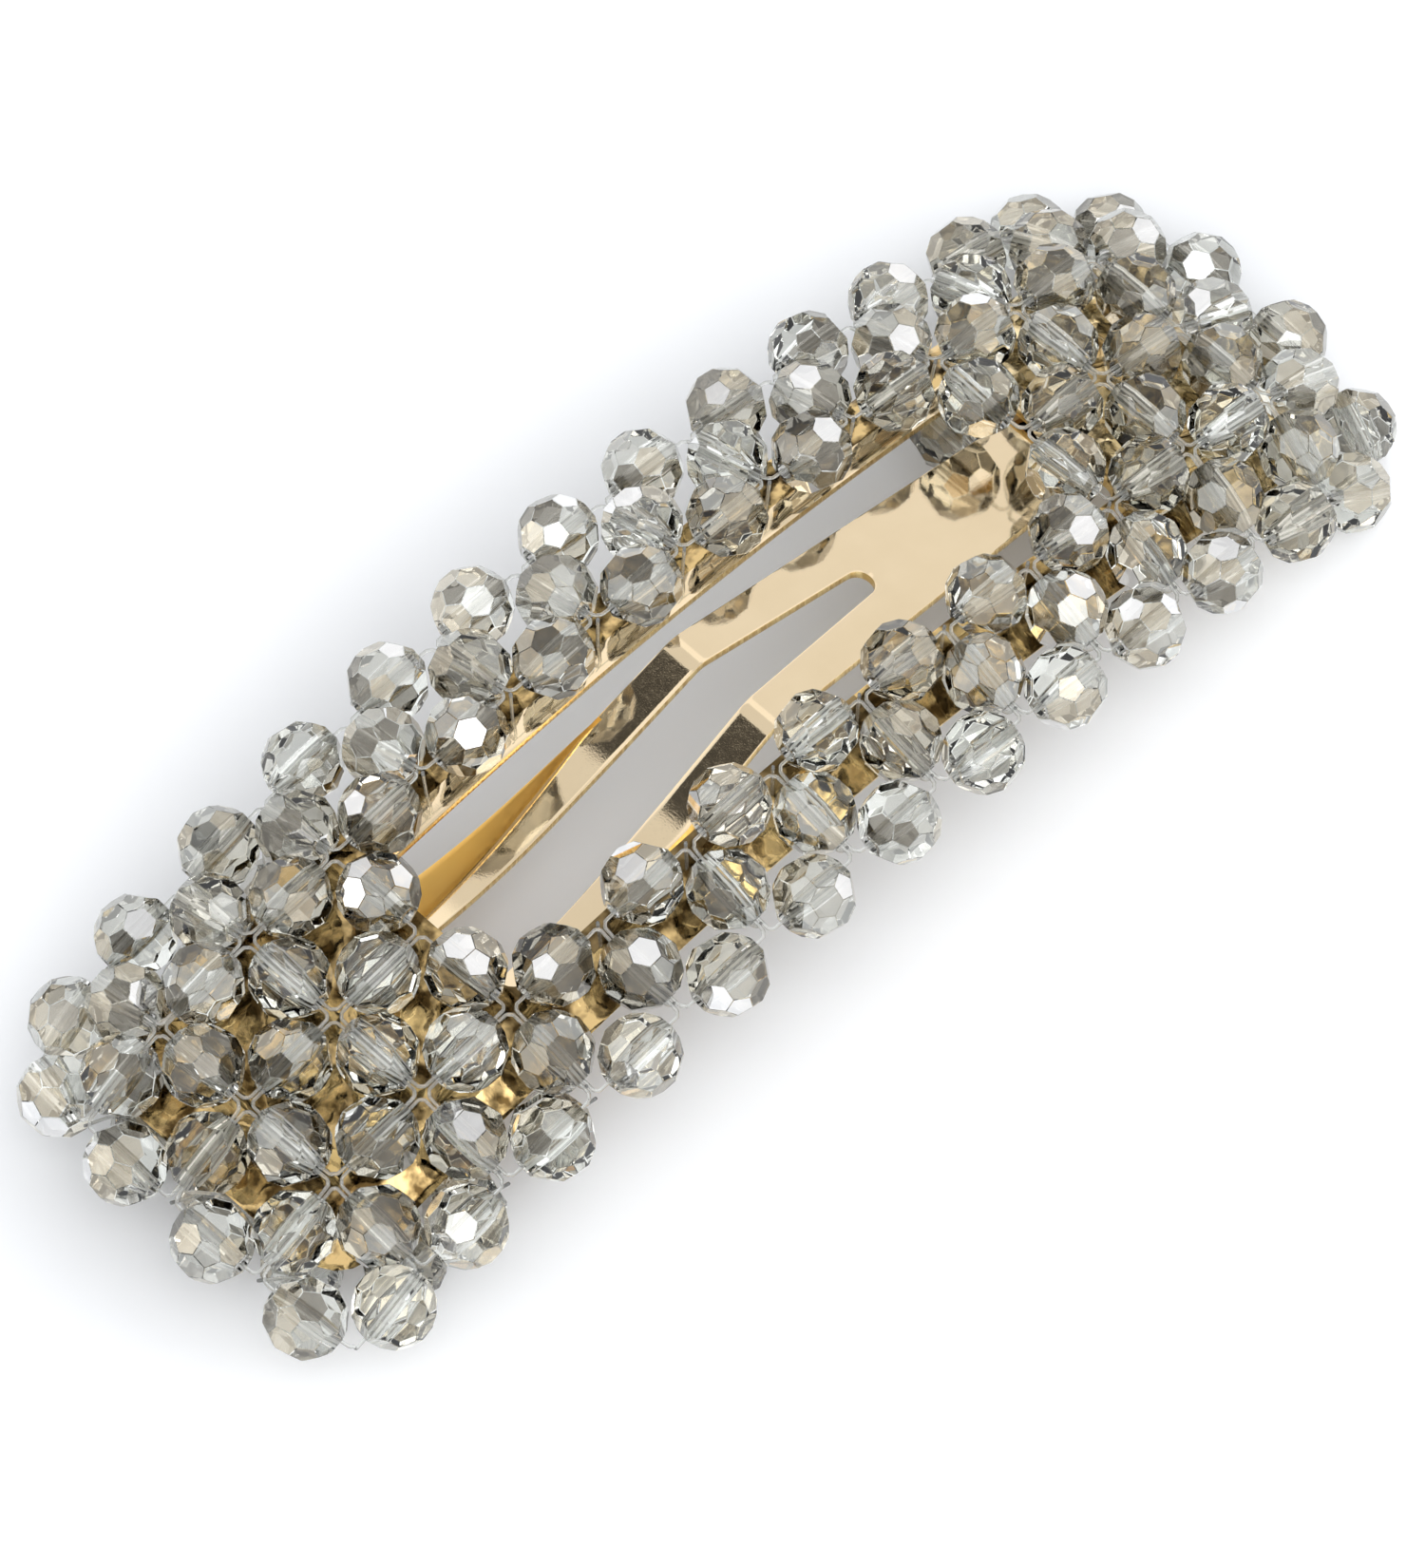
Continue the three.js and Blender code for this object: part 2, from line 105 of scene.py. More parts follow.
def on_carpet(along, across, lift=0.0):
    """Point over cell line `along` (0 tail, 13 head) and `across` (0 left, 4 right), `lift` mm proud."""
    s = along - HALF_LONG
    arc = min(abs(s), STRAIGHT_FROM) * CELL / ARCH_RADIUS
    beyond = max(0.0, abs(s) - STRAIGHT_FROM) * CELL
    slope = arc + (END_FOLD if abs(s) > STRAIGHT_FROM else 0.0)
    t = HALF_WIDE - across
    outside = max(0.0, abs(t) - 1) * CELL
    droop = droop_at(along) if outside > 0 else 0.0
    half = min(abs(t), 1) * CELL + outside * math.cos(droop) + lift * math.sin(droop)
    rise = lift * math.cos(droop) - outside * math.sin(droop)
    x = ARCH_RADIUS * math.sin(arc) + beyond * math.cos(slope) + rise * math.sin(slope)
    z = ARCH_RADIUS * (math.cos(arc) - 1) - beyond * math.sin(slope) + rise * math.cos(slope)
    return Vector((math.copysign(x, s), math.copysign(half, t) if t else 0.0, z))


def soft_ramp(u, radius):
    """0 before -radius, u after +radius, and a smooth bend between them."""
    if u <= -radius:
        return 0.0
    if u >= radius:
        return u
    return (u + radius) ** 2 / (4 * radius)


FOLD_SOFTNESS = 0.12  # cells over which the metal bends into its end fold
FOLD_NUDGE = 0.01  # cells between the two places that give the fold's share at a station
CREASE_SOFTNESS = 1.2  # mm over which a rail bends down beside the flat middle
SPINE_STEP = 0.02
SPINE_SPARE = 0.5  # cells that the stations run on past the end of the weave


def make_spine():
    """Stations (x, z, slope) along the metal from mid clip to one end, one every SPINE_STEP cells."""
    stations = []
    x = z = 0.0
    steps = int((HALF_LONG + SPINE_SPARE) / SPINE_STEP)
    for n in range(steps):
        s = n * SPINE_STEP
        past = s - STRAIGHT_FROM
        fold = soft_ramp(past, FOLD_SOFTNESS) - soft_ramp(past - FOLD_NUDGE, FOLD_SOFTNESS)
        slope = min(s, STRAIGHT_FROM) * CELL / ARCH_RADIUS + END_FOLD * fold / FOLD_NUDGE
        stations.append((x, z, slope))
        x += math.cos(slope) * SPINE_STEP * CELL
        z -= math.sin(slope) * SPINE_STEP * CELL
    return stations


SPINE = make_spine()


def plate_height(x, y, lift):
    """Height over plan point (x, y) of the metal layer `lift` mm over the bead centres."""
    low, high = 0, len(SPINE) - 1
    while high - low > 1:
        middle = (low + high) // 2
        if layer_x(middle, y, lift) < abs(x):
            low = middle
        else:
            high = middle
    x0, x1 = layer_x(low, y, lift), layer_x(high, y, lift)
    share = (abs(x) - x0) / (x1 - x0)
    z0, z1 = layer_z(low, y, lift), layer_z(high, y, lift)
    return z0 + (z1 - z0) * share


def rise_at(n, y, lift):
    """Height over station n of the spine, square to it, of a layer's point y mm from the middle."""
    droop = droop_at(HALF_LONG + n * SPINE_STEP)
    edge_half = CELL + CELL * math.cos(droop) + lift * math.sin(droop)
    edge_rise = lift * math.cos(droop) - CELL * math.sin(droop)
    fall = (lift - edge_rise) / (edge_half - CELL)
    return lift - fall * soft_ramp(abs(y) - CELL, CREASE_SOFTNESS)


def layer_x(n, y, lift):
    x, _, slope = SPINE[n]
    return x + rise_at(n, y, lift) * math.sin(slope)


def layer_z(n, y, lift):
    _, z, slope = SPINE[n]
    return z + rise_at(n, y, lift) * math.cos(slope)


# ---------- from the weave's frame to the CAD model's ----------
ROOT_LIFT = -PLATE_DROP - SHEET - GAP  # top of the tongue's root, under the head plate
flex_line = Vector((FLEX_X, 0.0, plate_height(FLEX_X, 0.0, ROOT_LIFT) - SHEET / 2))
hinge = Vector(frame["joints"][0]["pos_m"])
PITCH = Matrix.Rotation(REST_PITCH, 3, "Y")
OFFSET = hinge - PITCH @ flex_line * MM


def at_rest(point):
    return PITCH @ Vector(point) * MM + OFFSET


# ---------- materials ----------
GLASS_IOR = 1.56
NYLON_IOR = 1.53
# Scales of the noises, in features per metre, and heights of the bumps, in metres.
TONE_SCALE = 260.0
SCUFF_SCALE = 2500.0
WAVE_SCALE = 800.0
GRAIN_SCALE = 9000.0
GRAIN_HEIGHT = 0.000004
RIB_SCALE = 900.0
RIB_HEIGHT = 0.00005
RIB_STRETCH = (4.0, 1.0, 0.3)
GLASS_TONE_SCALE = 330.0
GLASS_SMEAR_SCALE = 1500.0
HOLE_FROST_SCALE = 2600.0
NYLON_TONE_SCALE = 900.0
NYLON_SMEAR_SCALE = 3000.0
PAPER_SCALE = 40.0


def new_material(name):
    material = bpy.data.materials.new(name)
    material.use_nodes = True
    return material, material.node_tree, material.node_tree.nodes["Principled BSDF"]


def noise(tree, scale, detail=3.0, stretch=None):
    """Noise over the object's own coordinates, in features per metre."""
    place = tree.nodes.new("ShaderNodeTexCoord")
    texture = tree.nodes.new("ShaderNodeTexNoise")
    texture.inputs["Scale"].default_value = scale
    texture.inputs["Detail"].default_value = detail
    if stretch is None:
        tree.links.new(place.outputs["Object"], texture.inputs["Vector"])
    else:
        mapping = tree.nodes.new("ShaderNodeMapping")
        mapping.inputs["Scale"].default_value = stretch
        tree.links.new(place.outputs["Object"], mapping.inputs["Vector"])
        tree.links.new(mapping.outputs["Vector"], texture.inputs["Vector"])
    return texture.outputs["Fac"]


def spread(tree, value, low, high):
    """Maps a noise, which stays mostly between 0.3 and 0.7, to low and high."""
    node = tree.nodes.new("ShaderNodeMapRange")
    node.inputs["From Min"].default_value = 0.3
    node.inputs["From Max"].default_value = 0.7
    node.inputs["To Min"].default_value = low
    node.inputs["To Max"].default_value = high
    tree.links.new(value, node.inputs["Value"])
    return node.outputs["Result"]


def bump(tree, value, distance, strength):
    node = tree.nodes.new("ShaderNodeBump")
    node.inputs["Distance"].default_value = distance
    node.inputs["Strength"].default_value = strength
    tree.links.new(value, node.inputs["Height"])
    return node.outputs["Normal"]


def two_tones(tree, value, dark, light, blend=0.2):
    """Dark where value is low, light where it is high, and mixed within `blend` of the middle."""
    ramp = tree.nodes.new("ShaderNodeValToRGB")
    ramp.color_ramp.elements[0].position = 0.5 - blend
    ramp.color_ramp.elements[0].color = (*dark, 1.0)
    ramp.color_ramp.elements[1].position = 0.5 + blend
    ramp.color_ramp.elements[1].color = (*light, 1.0)
    tree.links.new(value, ramp.inputs["Fac"])
    return ramp.outputs["Color"]


def gold(name, dark, light, smooth, rough, grain, waves=0.0, patches=TONE_SCALE, blend=0.2):
    """Gold plating; waves is the height in metres of its slow swell, patches its tones per metre."""
    material, tree, shader = new_material(name)
    shader.inputs["Metallic"].default_value = 1.0
    tones = two_tones(tree, noise(tree, patches), dark, light, blend)
    tree.links.new(tones, shader.inputs["Base Color"])
    tree.links.new(spread(tree, noise(tree, SCUFF_SCALE), smooth, rough), shader.inputs["Roughness"])
    slow = bump(tree, noise(tree, WAVE_SCALE, 1.0), waves, 1.0)
    fine = bump(tree, noise(tree, GRAIN_SCALE, 2.0), GRAIN_HEIGHT, grain)
    tree.links.new(slow, fine.node.inputs["Normal"])
    tree.links.new(fine, shader.inputs["Normal"])
    return material


def sheared_edge():
    """Edge of the sheet, with the fine upright ribs that a press leaves."""
    material, tree, shader = new_material("gold_sheared_edge")
    shader.inputs["Metallic"].default_value = 1.0
    ribs = noise(tree, RIB_SCALE, 1.0, stretch=RIB_STRETCH)
    tones = two_tones(tree, ribs, (0.72, 0.47, 0.16), (0.95, 0.74, 0.36))
    tree.links.new(tones, shader.inputs["Base Color"])
    tree.links.new(spread(tree, ribs, 0.18, 0.36), shader.inputs["Roughness"])
    tree.links.new(bump(tree, ribs, RIB_HEIGHT, 0.6), shader.inputs["Normal"])
    return material


def glass(name, dark, light, mirror):
    """Cut glass; mirror is the share of a thin metal coating."""
    material, tree, shader = new_material(name)
    shader.inputs["Transmission Weight"].default_value = 1.0
    shader.inputs["Metallic"].default_value = mirror
    shader.inputs["IOR"].default_value = GLASS_IOR
    tones = two_tones(tree, noise(tree, GLASS_TONE_SCALE), dark, light)
    tree.links.new(tones, shader.inputs["Base Color"])
    tree.links.new(spread(tree, noise(tree, GLASS_SMEAR_SCALE), 0.0, 0.03), shader.inputs["Roughness"])
    return material


def streak(name, shade, clear, rough):
    """Wall of a drilled hole: one lengthwise streak of it, more or less frosted."""
    material, tree, shader = new_material(name)
    shader.inputs["Transmission Weight"].default_value = clear
    shader.inputs["IOR"].default_value = GLASS_IOR
    shader.inputs["Base Color"].default_value = (shade, shade, shade * 0.985, 1.0)
    uneven = spread(tree, noise(tree, HOLE_FROST_SCALE, 2.0), rough * 0.6, rough * 1.4)
    tree.links.new(uneven, shader.inputs["Roughness"])
    return material


def nylon():
    material, tree, shader = new_material("nylon_thread")
    shader.inputs["Transmission Weight"].default_value = 0.85
    shader.inputs["IOR"].default_value = NYLON_IOR
    tones = two_tones(tree, noise(tree, NYLON_TONE_SCALE), (0.86, 0.88, 0.86), (0.97, 0.97, 0.95))
    tree.links.new(tones, shader.inputs["Base Color"])
    tree.links.new(spread(tree, noise(tree, NYLON_SMEAR_SCALE), 0.08, 0.25), shader.inputs["Roughness"])
    return material


# The gold below and beside the beads has painted shade and painted reflections: the tail's and covered
# rails' gold is dark with bright painted glints, the head's has lighter painted reflections, and the right
# rail's open strip has the darkest painted shade.
PAINTED_PATCHES_AND_BUMPS = dict(smooth=0.03, rough=0.09, grain=0.6, waves=0.00006, patches=620.0, blend=0.09)
GOLD = gold("gold_polished", (0.82, 0.66, 0.435), (0.86, 0.70, 0.47), 0.03, 0.07, 0.35)
GOLD_PAINTED_SHADE_AND_GLINTS = gold("gold_painted_shade_and_glints", (0.085, 0.052, 0.018), (0.66, 0.47, 0.21), **PAINTED_PATCHES_AND_BUMPS)
GOLD_HEAD_PAINTED_REFLECTIONS = gold("gold_head_painted_reflections", (0.40, 0.295, 0.135), (0.92, 0.74, 0.44), **PAINTED_PATCHES_AND_BUMPS)
GOLD_RAIL_PAINTED_SHADE = gold("gold_rail_painted_shade", (0.085, 0.056, 0.022), (0.25, 0.175, 0.08), **PAINTED_PATCHES_AND_BUMPS)
# The flange's saturated orange is a painted reflection of the gold that faces it.
GOLD_FLANGE_PAINTED_REFLECTION = gold("gold_flange_painted_reflection", (0.95, 0.56, 0.13), (0.98, 0.61, 0.17), 0.34, 0.44, 0.5)
GOLD_RIVET = gold("gold_rivet", (0.70, 0.50, 0.24), (0.80, 0.60, 0.32), 0.15, 0.25, 0.5)
EDGE_GOLD = sheared_edge()
GLASS_CLEAR = glass("glass_clear", (0.87, 0.89, 0.84), (0.95, 0.965, 0.925), 0.0)
GLASS_SMOKY = glass("glass_smoky", (0.54, 0.52, 0.44), (0.71, 0.69, 0.61), 0.0)
COAT_SILVER = glass("coat_silver", (0.61, 0.615, 0.57), (0.80, 0.805, 0.765), 0.36)
COAT_CHAMPAGNE = glass("coat_champagne", (0.58, 0.51, 0.385), (0.76, 0.695, 0.56), 0.38)
COAT_DARK = glass("coat_dark", (0.17, 0.155, 0.125), (0.30, 0.28, 0.235), 0.45)
COAT_MIRROR = glass("coat_mirror", (0.82, 0.82, 0.82), (0.93, 0.92, 0.91), 0.8)
STREAK_CLEAR = streak("hole_clear", 0.95, 1.0, 0.05)
STREAK_FROSTED = streak("hole_frosted", 0.96, 0.35, 0.15)
STREAK_GREY = streak("hole_grey", 0.45, 0.7, 0.2)
NYLON = nylon()


# ---------- meshes ----------
def add_mesh(name, points, faces, materials, slots=None, smooth=False):
    """A mesh object from points in the weave's frame."""
    mesh = bpy.data.meshes.new(name)
    mesh.from_pydata([at_rest(p) for p in points], [], faces)
    for material in materials:
        mesh.materials.append(material)
    if slots:
        mesh.polygons.foreach_set("material_index", slots)
    mesh.polygons.foreach_set("use_smooth", [smooth] * len(mesh.polygons))
    mesh.update()
    piece = bpy.data.objects.new(name, mesh)
    bpy.context.scene.collection.objects.link(piece)
    return piece


POLES = (0, 1)  # the two corners of the icosahedron that lie on the Z axis


def icosahedron():
    """Corners of an icosahedron with one of them on +Z."""
    corners = [Vector((0, 0, 1)), Vector((0, 0, -1))]
    high = 1 / math.sqrt(5)
    for k in range(5):
        for turn, z in ((0.0, high), (0.5, -high)):
            angle = math.tau * (k + turn) / 5
            corners.append(Vector((2 * high * math.cos(angle), 2 * high * math.sin(angle), z)))
    return corners


HOLE_SEED = 5
HOLE_SIDES = 20  # a multiple of five, since each of its mouths lies in a pentagon
HOLE_RADIUS = 0.5
HOLE_ROUGHNESS = 0.08  # share of its radius by which a hole's wall is uneven
BEAD_BEVEL = 0.035
BEVEL_CORNERS = 4  # a bevel between two facets has at most this many corners
CUT_FACET = 0  # kind of a face of the bead's cut body
HOLE_KINDS = (1, 2, 3)  # kinds of the strips of the hole's wall: clear, frosted and grey
HOLE_ODDS = (6, 3, 1)


def neighbours(corners):
    """For each corner of the icosahedron, the numbers of the five corners next to it."""
    side = min((a - b).length for a in corners for b in corners if a is not b)
    reach = side * 1.01  # a little more than the side, for rounding errors
    return [[j for j, b in enumerate(corners) if 0 < (a - b).length < reach] for a in corners]


def cut_facets(work, corners):
    """Adds the facets of a truncated icosahedron but for the two pentagons that the hole leaves through.

    Returns its points as cut[i, j], near corner i on the edge to corner j, and the neighbours of each
    corner in their order round it.
    """
    near = neighbours(corners)
    cut = {}
    for i, a in enumerate(corners):
        for j in near[i]:
            place = (2 * a + corners[j]) / 3
            cut[i, j] = work.verts.new(place.normalized() * BEAD / 2)
    rings = []
    for i, a in enumerate(corners):
        first = (corners[near[i][0]] - a).cross(a).normalized()
        second = a.cross(first)
        ring = sorted(near[i], key=lambda j: math.atan2(corners[j].dot(second), corners[j].dot(first)))
        rings.append(ring)
        if i not in POLES:
            work.faces.new([cut[i, j] for j in ring])
    for i, ring in enumerate(rings):
        for n, j in enumerate(ring):
            k = ring[(n + 1) % len(ring)]
            if i < j and i < k:
                work.faces.new([cut[i, j], cut[j, i], cut[j, k], cut[k, j], cut[k, i], cut[i, k]])
    return cut, rings


def drill(work, corners, cut, rings):
    """Adds the two pierced pentagons and the wall of the hole, and returns the points of its mouths."""
    rough = random.Random(HOLE_SEED)
    radii = []
    for _ in range(HOLE_SIDES):
        radii.append(HOLE_RADIUS * (1 + rough.uniform(-HOLE_ROUGHNESS, HOLE_ROUGHNESS)))
    mouths = []
    for pole in POLES:
        ring = rings[pole]
        height = cut[pole, ring[0]].co.z
        mouth = []
        for n, radius in enumerate(radii):
            angle = math.tau * n / HOLE_SIDES
            mouth.append(work.verts.new((radius * math.cos(angle), radius * math.sin(angle), height)))
        mouths.append(mouth)
        steps = HOLE_SIDES // len(ring)
        turn = 1 if pole == 0 else -1
        for n, j in enumerate(ring):
            k = ring[(n + 1) % len(ring)]
            start = round(math.atan2(corners[j].y, corners[j].x) / math.tau * HOLE_SIDES)
            arc = [mouth[(start + turn * m) % HOLE_SIDES] for m in range(steps + 1)]
            work.faces.new([cut[pole, j], cut[pole, k], *reversed(arc)])
    upper, lower = mouths
    for n in range(HOLE_SIDES):
        m = (n + 1) % HOLE_SIDES
        face = work.faces.new([upper[n], upper[m], lower[m], lower[n]])
        face.material_index = rough.choices(HOLE_KINDS, HOLE_ODDS)[0]
    return upper + lower


def bead_template():
    """Points, faces, face kinds and face normals of one cut bead whose hole runs along Z.

    The wall of the hole is a prism whose sides aren't quite even, as a drill leaves it.
    """
    work = bmesh.new()
    corners = icosahedron()
    cut, rings = cut_facets(work, corners)
    mouths = drill(work, corners, cut, rings)
    edges = [e for e in work.edges if all(v not in mouths for v in e.verts)]
    bmesh.ops.bevel(work, geom=edges, offset=BEAD_BEVEL, segments=1, affect="EDGES", profile=0.5)
    bmesh.ops.recalc_face_normals(work, faces=work.faces)
    work.verts.index_update()
    points = [v.co.copy() for v in work.verts]
    faces = [[v.index for v in f.verts] for f in work.faces]
    kinds = [f.material_index for f in work.faces]
    normals = [f.normal.copy() for f in work.faces]
    work.free()
    return points, faces, kinds, normals


BEAD_POINTS, BEAD_FACES, BEAD_KINDS, BEAD_NORMALS = bead_template()
BEAD_MATERIALS = [GLASS_CLEAR, STREAK_CLEAR, STREAK_FROSTED, STREAK_GREY, GLASS_SMOKY]
BEAD_MATERIALS += [COAT_SILVER, COAT_CHAMPAGNE, COAT_DARK, COAT_MIRROR]
CLEAR = 0  # this, SMOKY and COATS are places in BEAD_MATERIALS
SMOKY = 4
COATS = (5, 6, 7, 8)
COATED_FROM = -0.05  # a facet is coated if it leans this much towards the coated side
COAT_ODDS = (8, 7, 4, 3)
WANDER = 0.05  # mm that a bead may sit off its place in the weave
TILT = math.radians(3.0)  # that its hole may lean away from its thread's line
SMOKY_IN_ROWS = 0.35  # shares of the beads whose glass is smoky
SMOKY_IN_CROSSES = 0.45
SMOKY_IN_SKIRT = 0.3


def random_direction():
    return Vector([chance.gauss(0, 1) for _ in range(3)]).normalized()


class Strand:
    """Beads gathered into one mesh."""

    def __init__(self, smoky_share):
        self.points, self.faces, self.slots = [], [], []
        self.smoky_share = smoky_share

    def add(self, centre, axis):
        lean = random_direction() * math.tan(TILT) * chance.random()
        spin = Matrix.Rotation(chance.uniform(0, math.tau), 3, "Z")
        turn = (Vector(axis).normalized() + lean).normalized().to_track_quat("Z", "Y").to_matrix() @ spin
        place = Vector(centre) + random_direction() * WANDER * chance.random()
        coated_side = random_direction()
        body = SMOKY if chance.random() < self.smoky_share else CLEAR
        first = len(self.points)
        self.points += [place + turn @ p for p in BEAD_POINTS]
        self.faces += [[first + n for n in face] for face in BEAD_FACES]
        for face, kind, normal in zip(BEAD_FACES, BEAD_KINDS, BEAD_NORMALS):
            if kind != CUT_FACET:
                self.slots.append(kind)
            elif len(face) > BEVEL_CORNERS and normal.dot(coated_side) > COATED_FROM:
                self.slots.append(chance.choices(COATS, COAT_ODDS)[0])
            else:
                self.slots.append(body)

    def finish(self, name, node):
        piece = add_mesh(name, self.points, self.faces, BEAD_MATERIALS, self.slots)
        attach(piece, "clip")
        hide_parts(node)


def row_beads(node, across, first, last):
    strand = Strand(SMOKY_IN_ROWS)
    for line in range(first, last):
        axis = on_carpet(line + 1, across) - on_carpet(line, across)
        strand.add(on_carpet(line + 0.5, across), axis)
    strand.finish("beads_" + node, node)


def cross_beads(node, line, places, below=None):
    strand = Strand(SMOKY_IN_CROSSES)
    for across in places:
        axis = on_carpet(line, across + 0.5) - on_carpet(line, across - 0.5)
        strand.add(on_carpet(line, across), axis)
    if below:
        strand.add(on_carpet(line + UNDER_BEAD_AHEAD, below, -UNDER_BEAD_DROP), UNDER_BEAD_AXIS)
    strand.finish("beads_" + node, node)


def skirt_bead(node, line, across):
    strand = Strand(SMOKY_IN_SKIRT)
    centre = on_carpet(line, across, -UNDER_BEAD_DROP)
    strand.add(centre, on_carpet(line, across) - centre)
    strand.finish("beads_" + node, node)


for node, across, first, last in (
    ("row_left_outer", 0, 0, CELLS_LONG),
    ("row_left_inner", 1, 0, CELLS_LONG),
    ("row_right_inner", 3, 0, CELLS_LONG),
    ("row_right_outer", 4, 0, CELLS_LONG),
    ("row_centre_tail", 2, 0, TAIL_LINES),
    ("row_centre_head", 2, HEAD_LINE, CELLS_LONG),
):
    row_beads(node, across, first, last)

for line in range(CELLS_LONG + 1):
    if line <= TAIL_LINES or line >= HEAD_LINE:
        below = UNDER_BEAD_ACROSS if line == UNDER_BEAD_LINE else None
        cross_beads(f"cross_{line:02d}", line, (0.5, 1.5, 2.5, 3.5), below)
    else:
        cross_beads(f"cross_{line:02d}_left", line, (0.5,))
        cross_beads(f"cross_{line:02d}_right", line, (3.5,))

# Skirt below the tail: its node, where the bead hangs, and the cell line and side that hold its thread.
SKIRT = []
for name, across in zip(("left", "middle", "right"), SKIRT_END_ACROSS):
    SKIRT.append(("skirt_end_" + name, SKIRT_END_LINE, across, 0, round(across)))
for line in range(1, TAIL_LINES + 1):
    place = line - SKIRT_BEHIND
    SKIRT.append((f"skirt_left_{line}", place, SKIRT_INSIDE, line, 0))
    SKIRT.append((f"skirt_right_{line}", place, CELLS_WIDE - SKIRT_INSIDE, line, CELLS_WIDE))
for node, place, across, _, _ in SKIRT:
    skirt_bead(node, place, across)

# ---------- thread ----------
THREAD_RADIUS = 0.11
THREAD_SIDES = 6
MOUTH = BEAD / 2 * 0.94  # from a bead's centre to the face where its hole comes out
PAIR_OFFSET = 0.14  # two strands share each hole
TURN_INSIDE = (0.35, 0.5)  # mm from a node of the weave to where a loop turns
TURN_RISE = (-0.05, 0.12)  # mm that this turn lies above the node
SKIRT_KNOT = 0.2  # mm of thread below a skirt bead
KNOT_DROP = 0.3  # mm from the bead centres down to where the skirt's thread is tied
STITCH_TOP = 0.2  # mm above the bead centres where a rail's lashing ends
ROUTE_STEPS = 5  # points of a smooth route for each point that it is given
SKIRT_STEPS = 4


class Thread:
    """Tubes gathered into one mesh."""

    def __init__(self):
        self.points, self.faces = [], []

    def add(self, route, closed=False):
        count = len(route)
        first = len(self.points)
        side = Vector((0.0, 0.0, 1.0))
        for n, point in enumerate(route):
            before = route[n - 1] if n or closed else route[0]
            after = route[(n + 1) % count] if n + 1 < count or closed else route[-1]
            forward = (after - before).normalized()
            side = (side - forward * side.dot(forward)).normalized()
            other = forward.cross(side)
            for k in range(THREAD_SIDES):
                angle = math.tau * k / THREAD_SIDES
                outward = side * math.cos(angle) + other * math.sin(angle)
                self.points.append(point + outward * THREAD_RADIUS)
        rings = count if closed else count - 1
        for n in range(rings):
            a, b = first + n * THREAD_SIDES, first + (n + 1) % count * THREAD_SIDES
            for k in range(THREAD_SIDES):
                m = (k + 1) % THREAD_SIDES
                self.faces.append([a + k, a + m, b + m, b + k])
        if not closed:
            last = first + (count - 1) * THREAD_SIDES
            self.faces.append([first + k for k in reversed(range(THREAD_SIDES))])
            self.faces.append([last + k for k in range(THREAD_SIDES)])


def smooth_route(points, steps, closed=False):
    """Catmull-Rom curve through the points."""
    route = []
    count = len(points)
    spans = count if closed else count - 1
    for n in range(spans):
        if closed:
            p0, p1, p2, p3 = (points[(n + k) % count] for k in (-1, 0, 1, 2))
        else:
            p0, p1, p2, p3 = (points[min(max(n + k, 0), count - 1)] for k in (-1, 0, 1, 2))
        for step in range(steps):
            t = step / steps
            a = 2 * p1 + (p2 - p0) * t + (2 * p0 - 5 * p1 + 4 * p2 - p3) * t * t
            route.append((a + (3 * p1 - p0 - 3 * p2 + p3) * t**3) / 2)
    if not closed:
        route.append(points[-1].copy())
    return route


def cell_loop(line, across):
    """Thread round one cell: through its four beads, turning inside the cell at its four nodes."""
    nodes = [on_carpet(line + a, across + b) for a, b in ((0, 0), (1, 0), (1, 1), (0, 1))]
    middle = sum(nodes, Vector()) / 4
    points = []
    for n, node in enumerate(nodes):
        after = nodes[(n + 1) % 4]
        centre = (node + after) / 2
        along = (after - node).normalized()
        inward = (middle - centre).normalized() * PAIR_OFFSET
        rise = Vector((0, 0, chance.uniform(*TURN_RISE)))
        points.append(node + (middle - node).normalized() * chance.uniform(*TURN_INSIDE) + rise)
        points.append(centre - along * MOUTH + inward)
        points.append(centre + along * MOUTH + inward)
    return smooth_route(points, ROUTE_STEPS, closed=True)


def across_at(line, side, y, lift):
    """Where on a line of the weave a point `lift` mm proud lies y mm from the middle."""
    droop = droop_at(line)
    t = 1 + (y - CELL - lift * math.sin(droop)) / (CELL * math.cos(droop))
    return HALF_WIDE - t if side == 0 else HALF_WIDE + t


EDGE_CLEARANCE = 0.2  # of a lashing beside the sheared edge
UNDER_RUN = PLATE_DROP + SHEET + 2 * THREAD_RADIUS  # bead centres down to a thread below the sheet


def outer_turn(line, side, under):
    """From a node on the outer line down round the plate's edge, as (across, lift)."""
    step = 1 if side == 0 else -1
    y = FRAME_HALF_WIDTH + EDGE_CLEARANCE
    return [
        (side + 0.12 * step, 0.1),
        (side + 0.15 * step, -1.0),
        (across_at(line, side, y + 0.7, -1.9), -1.9),
        (across_at(line, side, y, -PLATE_DROP), -PLATE_DROP),
        (across_at(line, side, y - 0.1, -under + 0.1), -under + 0.1),
        (across_at(line, side, y - 1.2, -under), -under),
    ]


def lashing(line, turns):
    return smooth_route([on_carpet(line, across, lift) for across, lift in turns], ROUTE_STEPS)


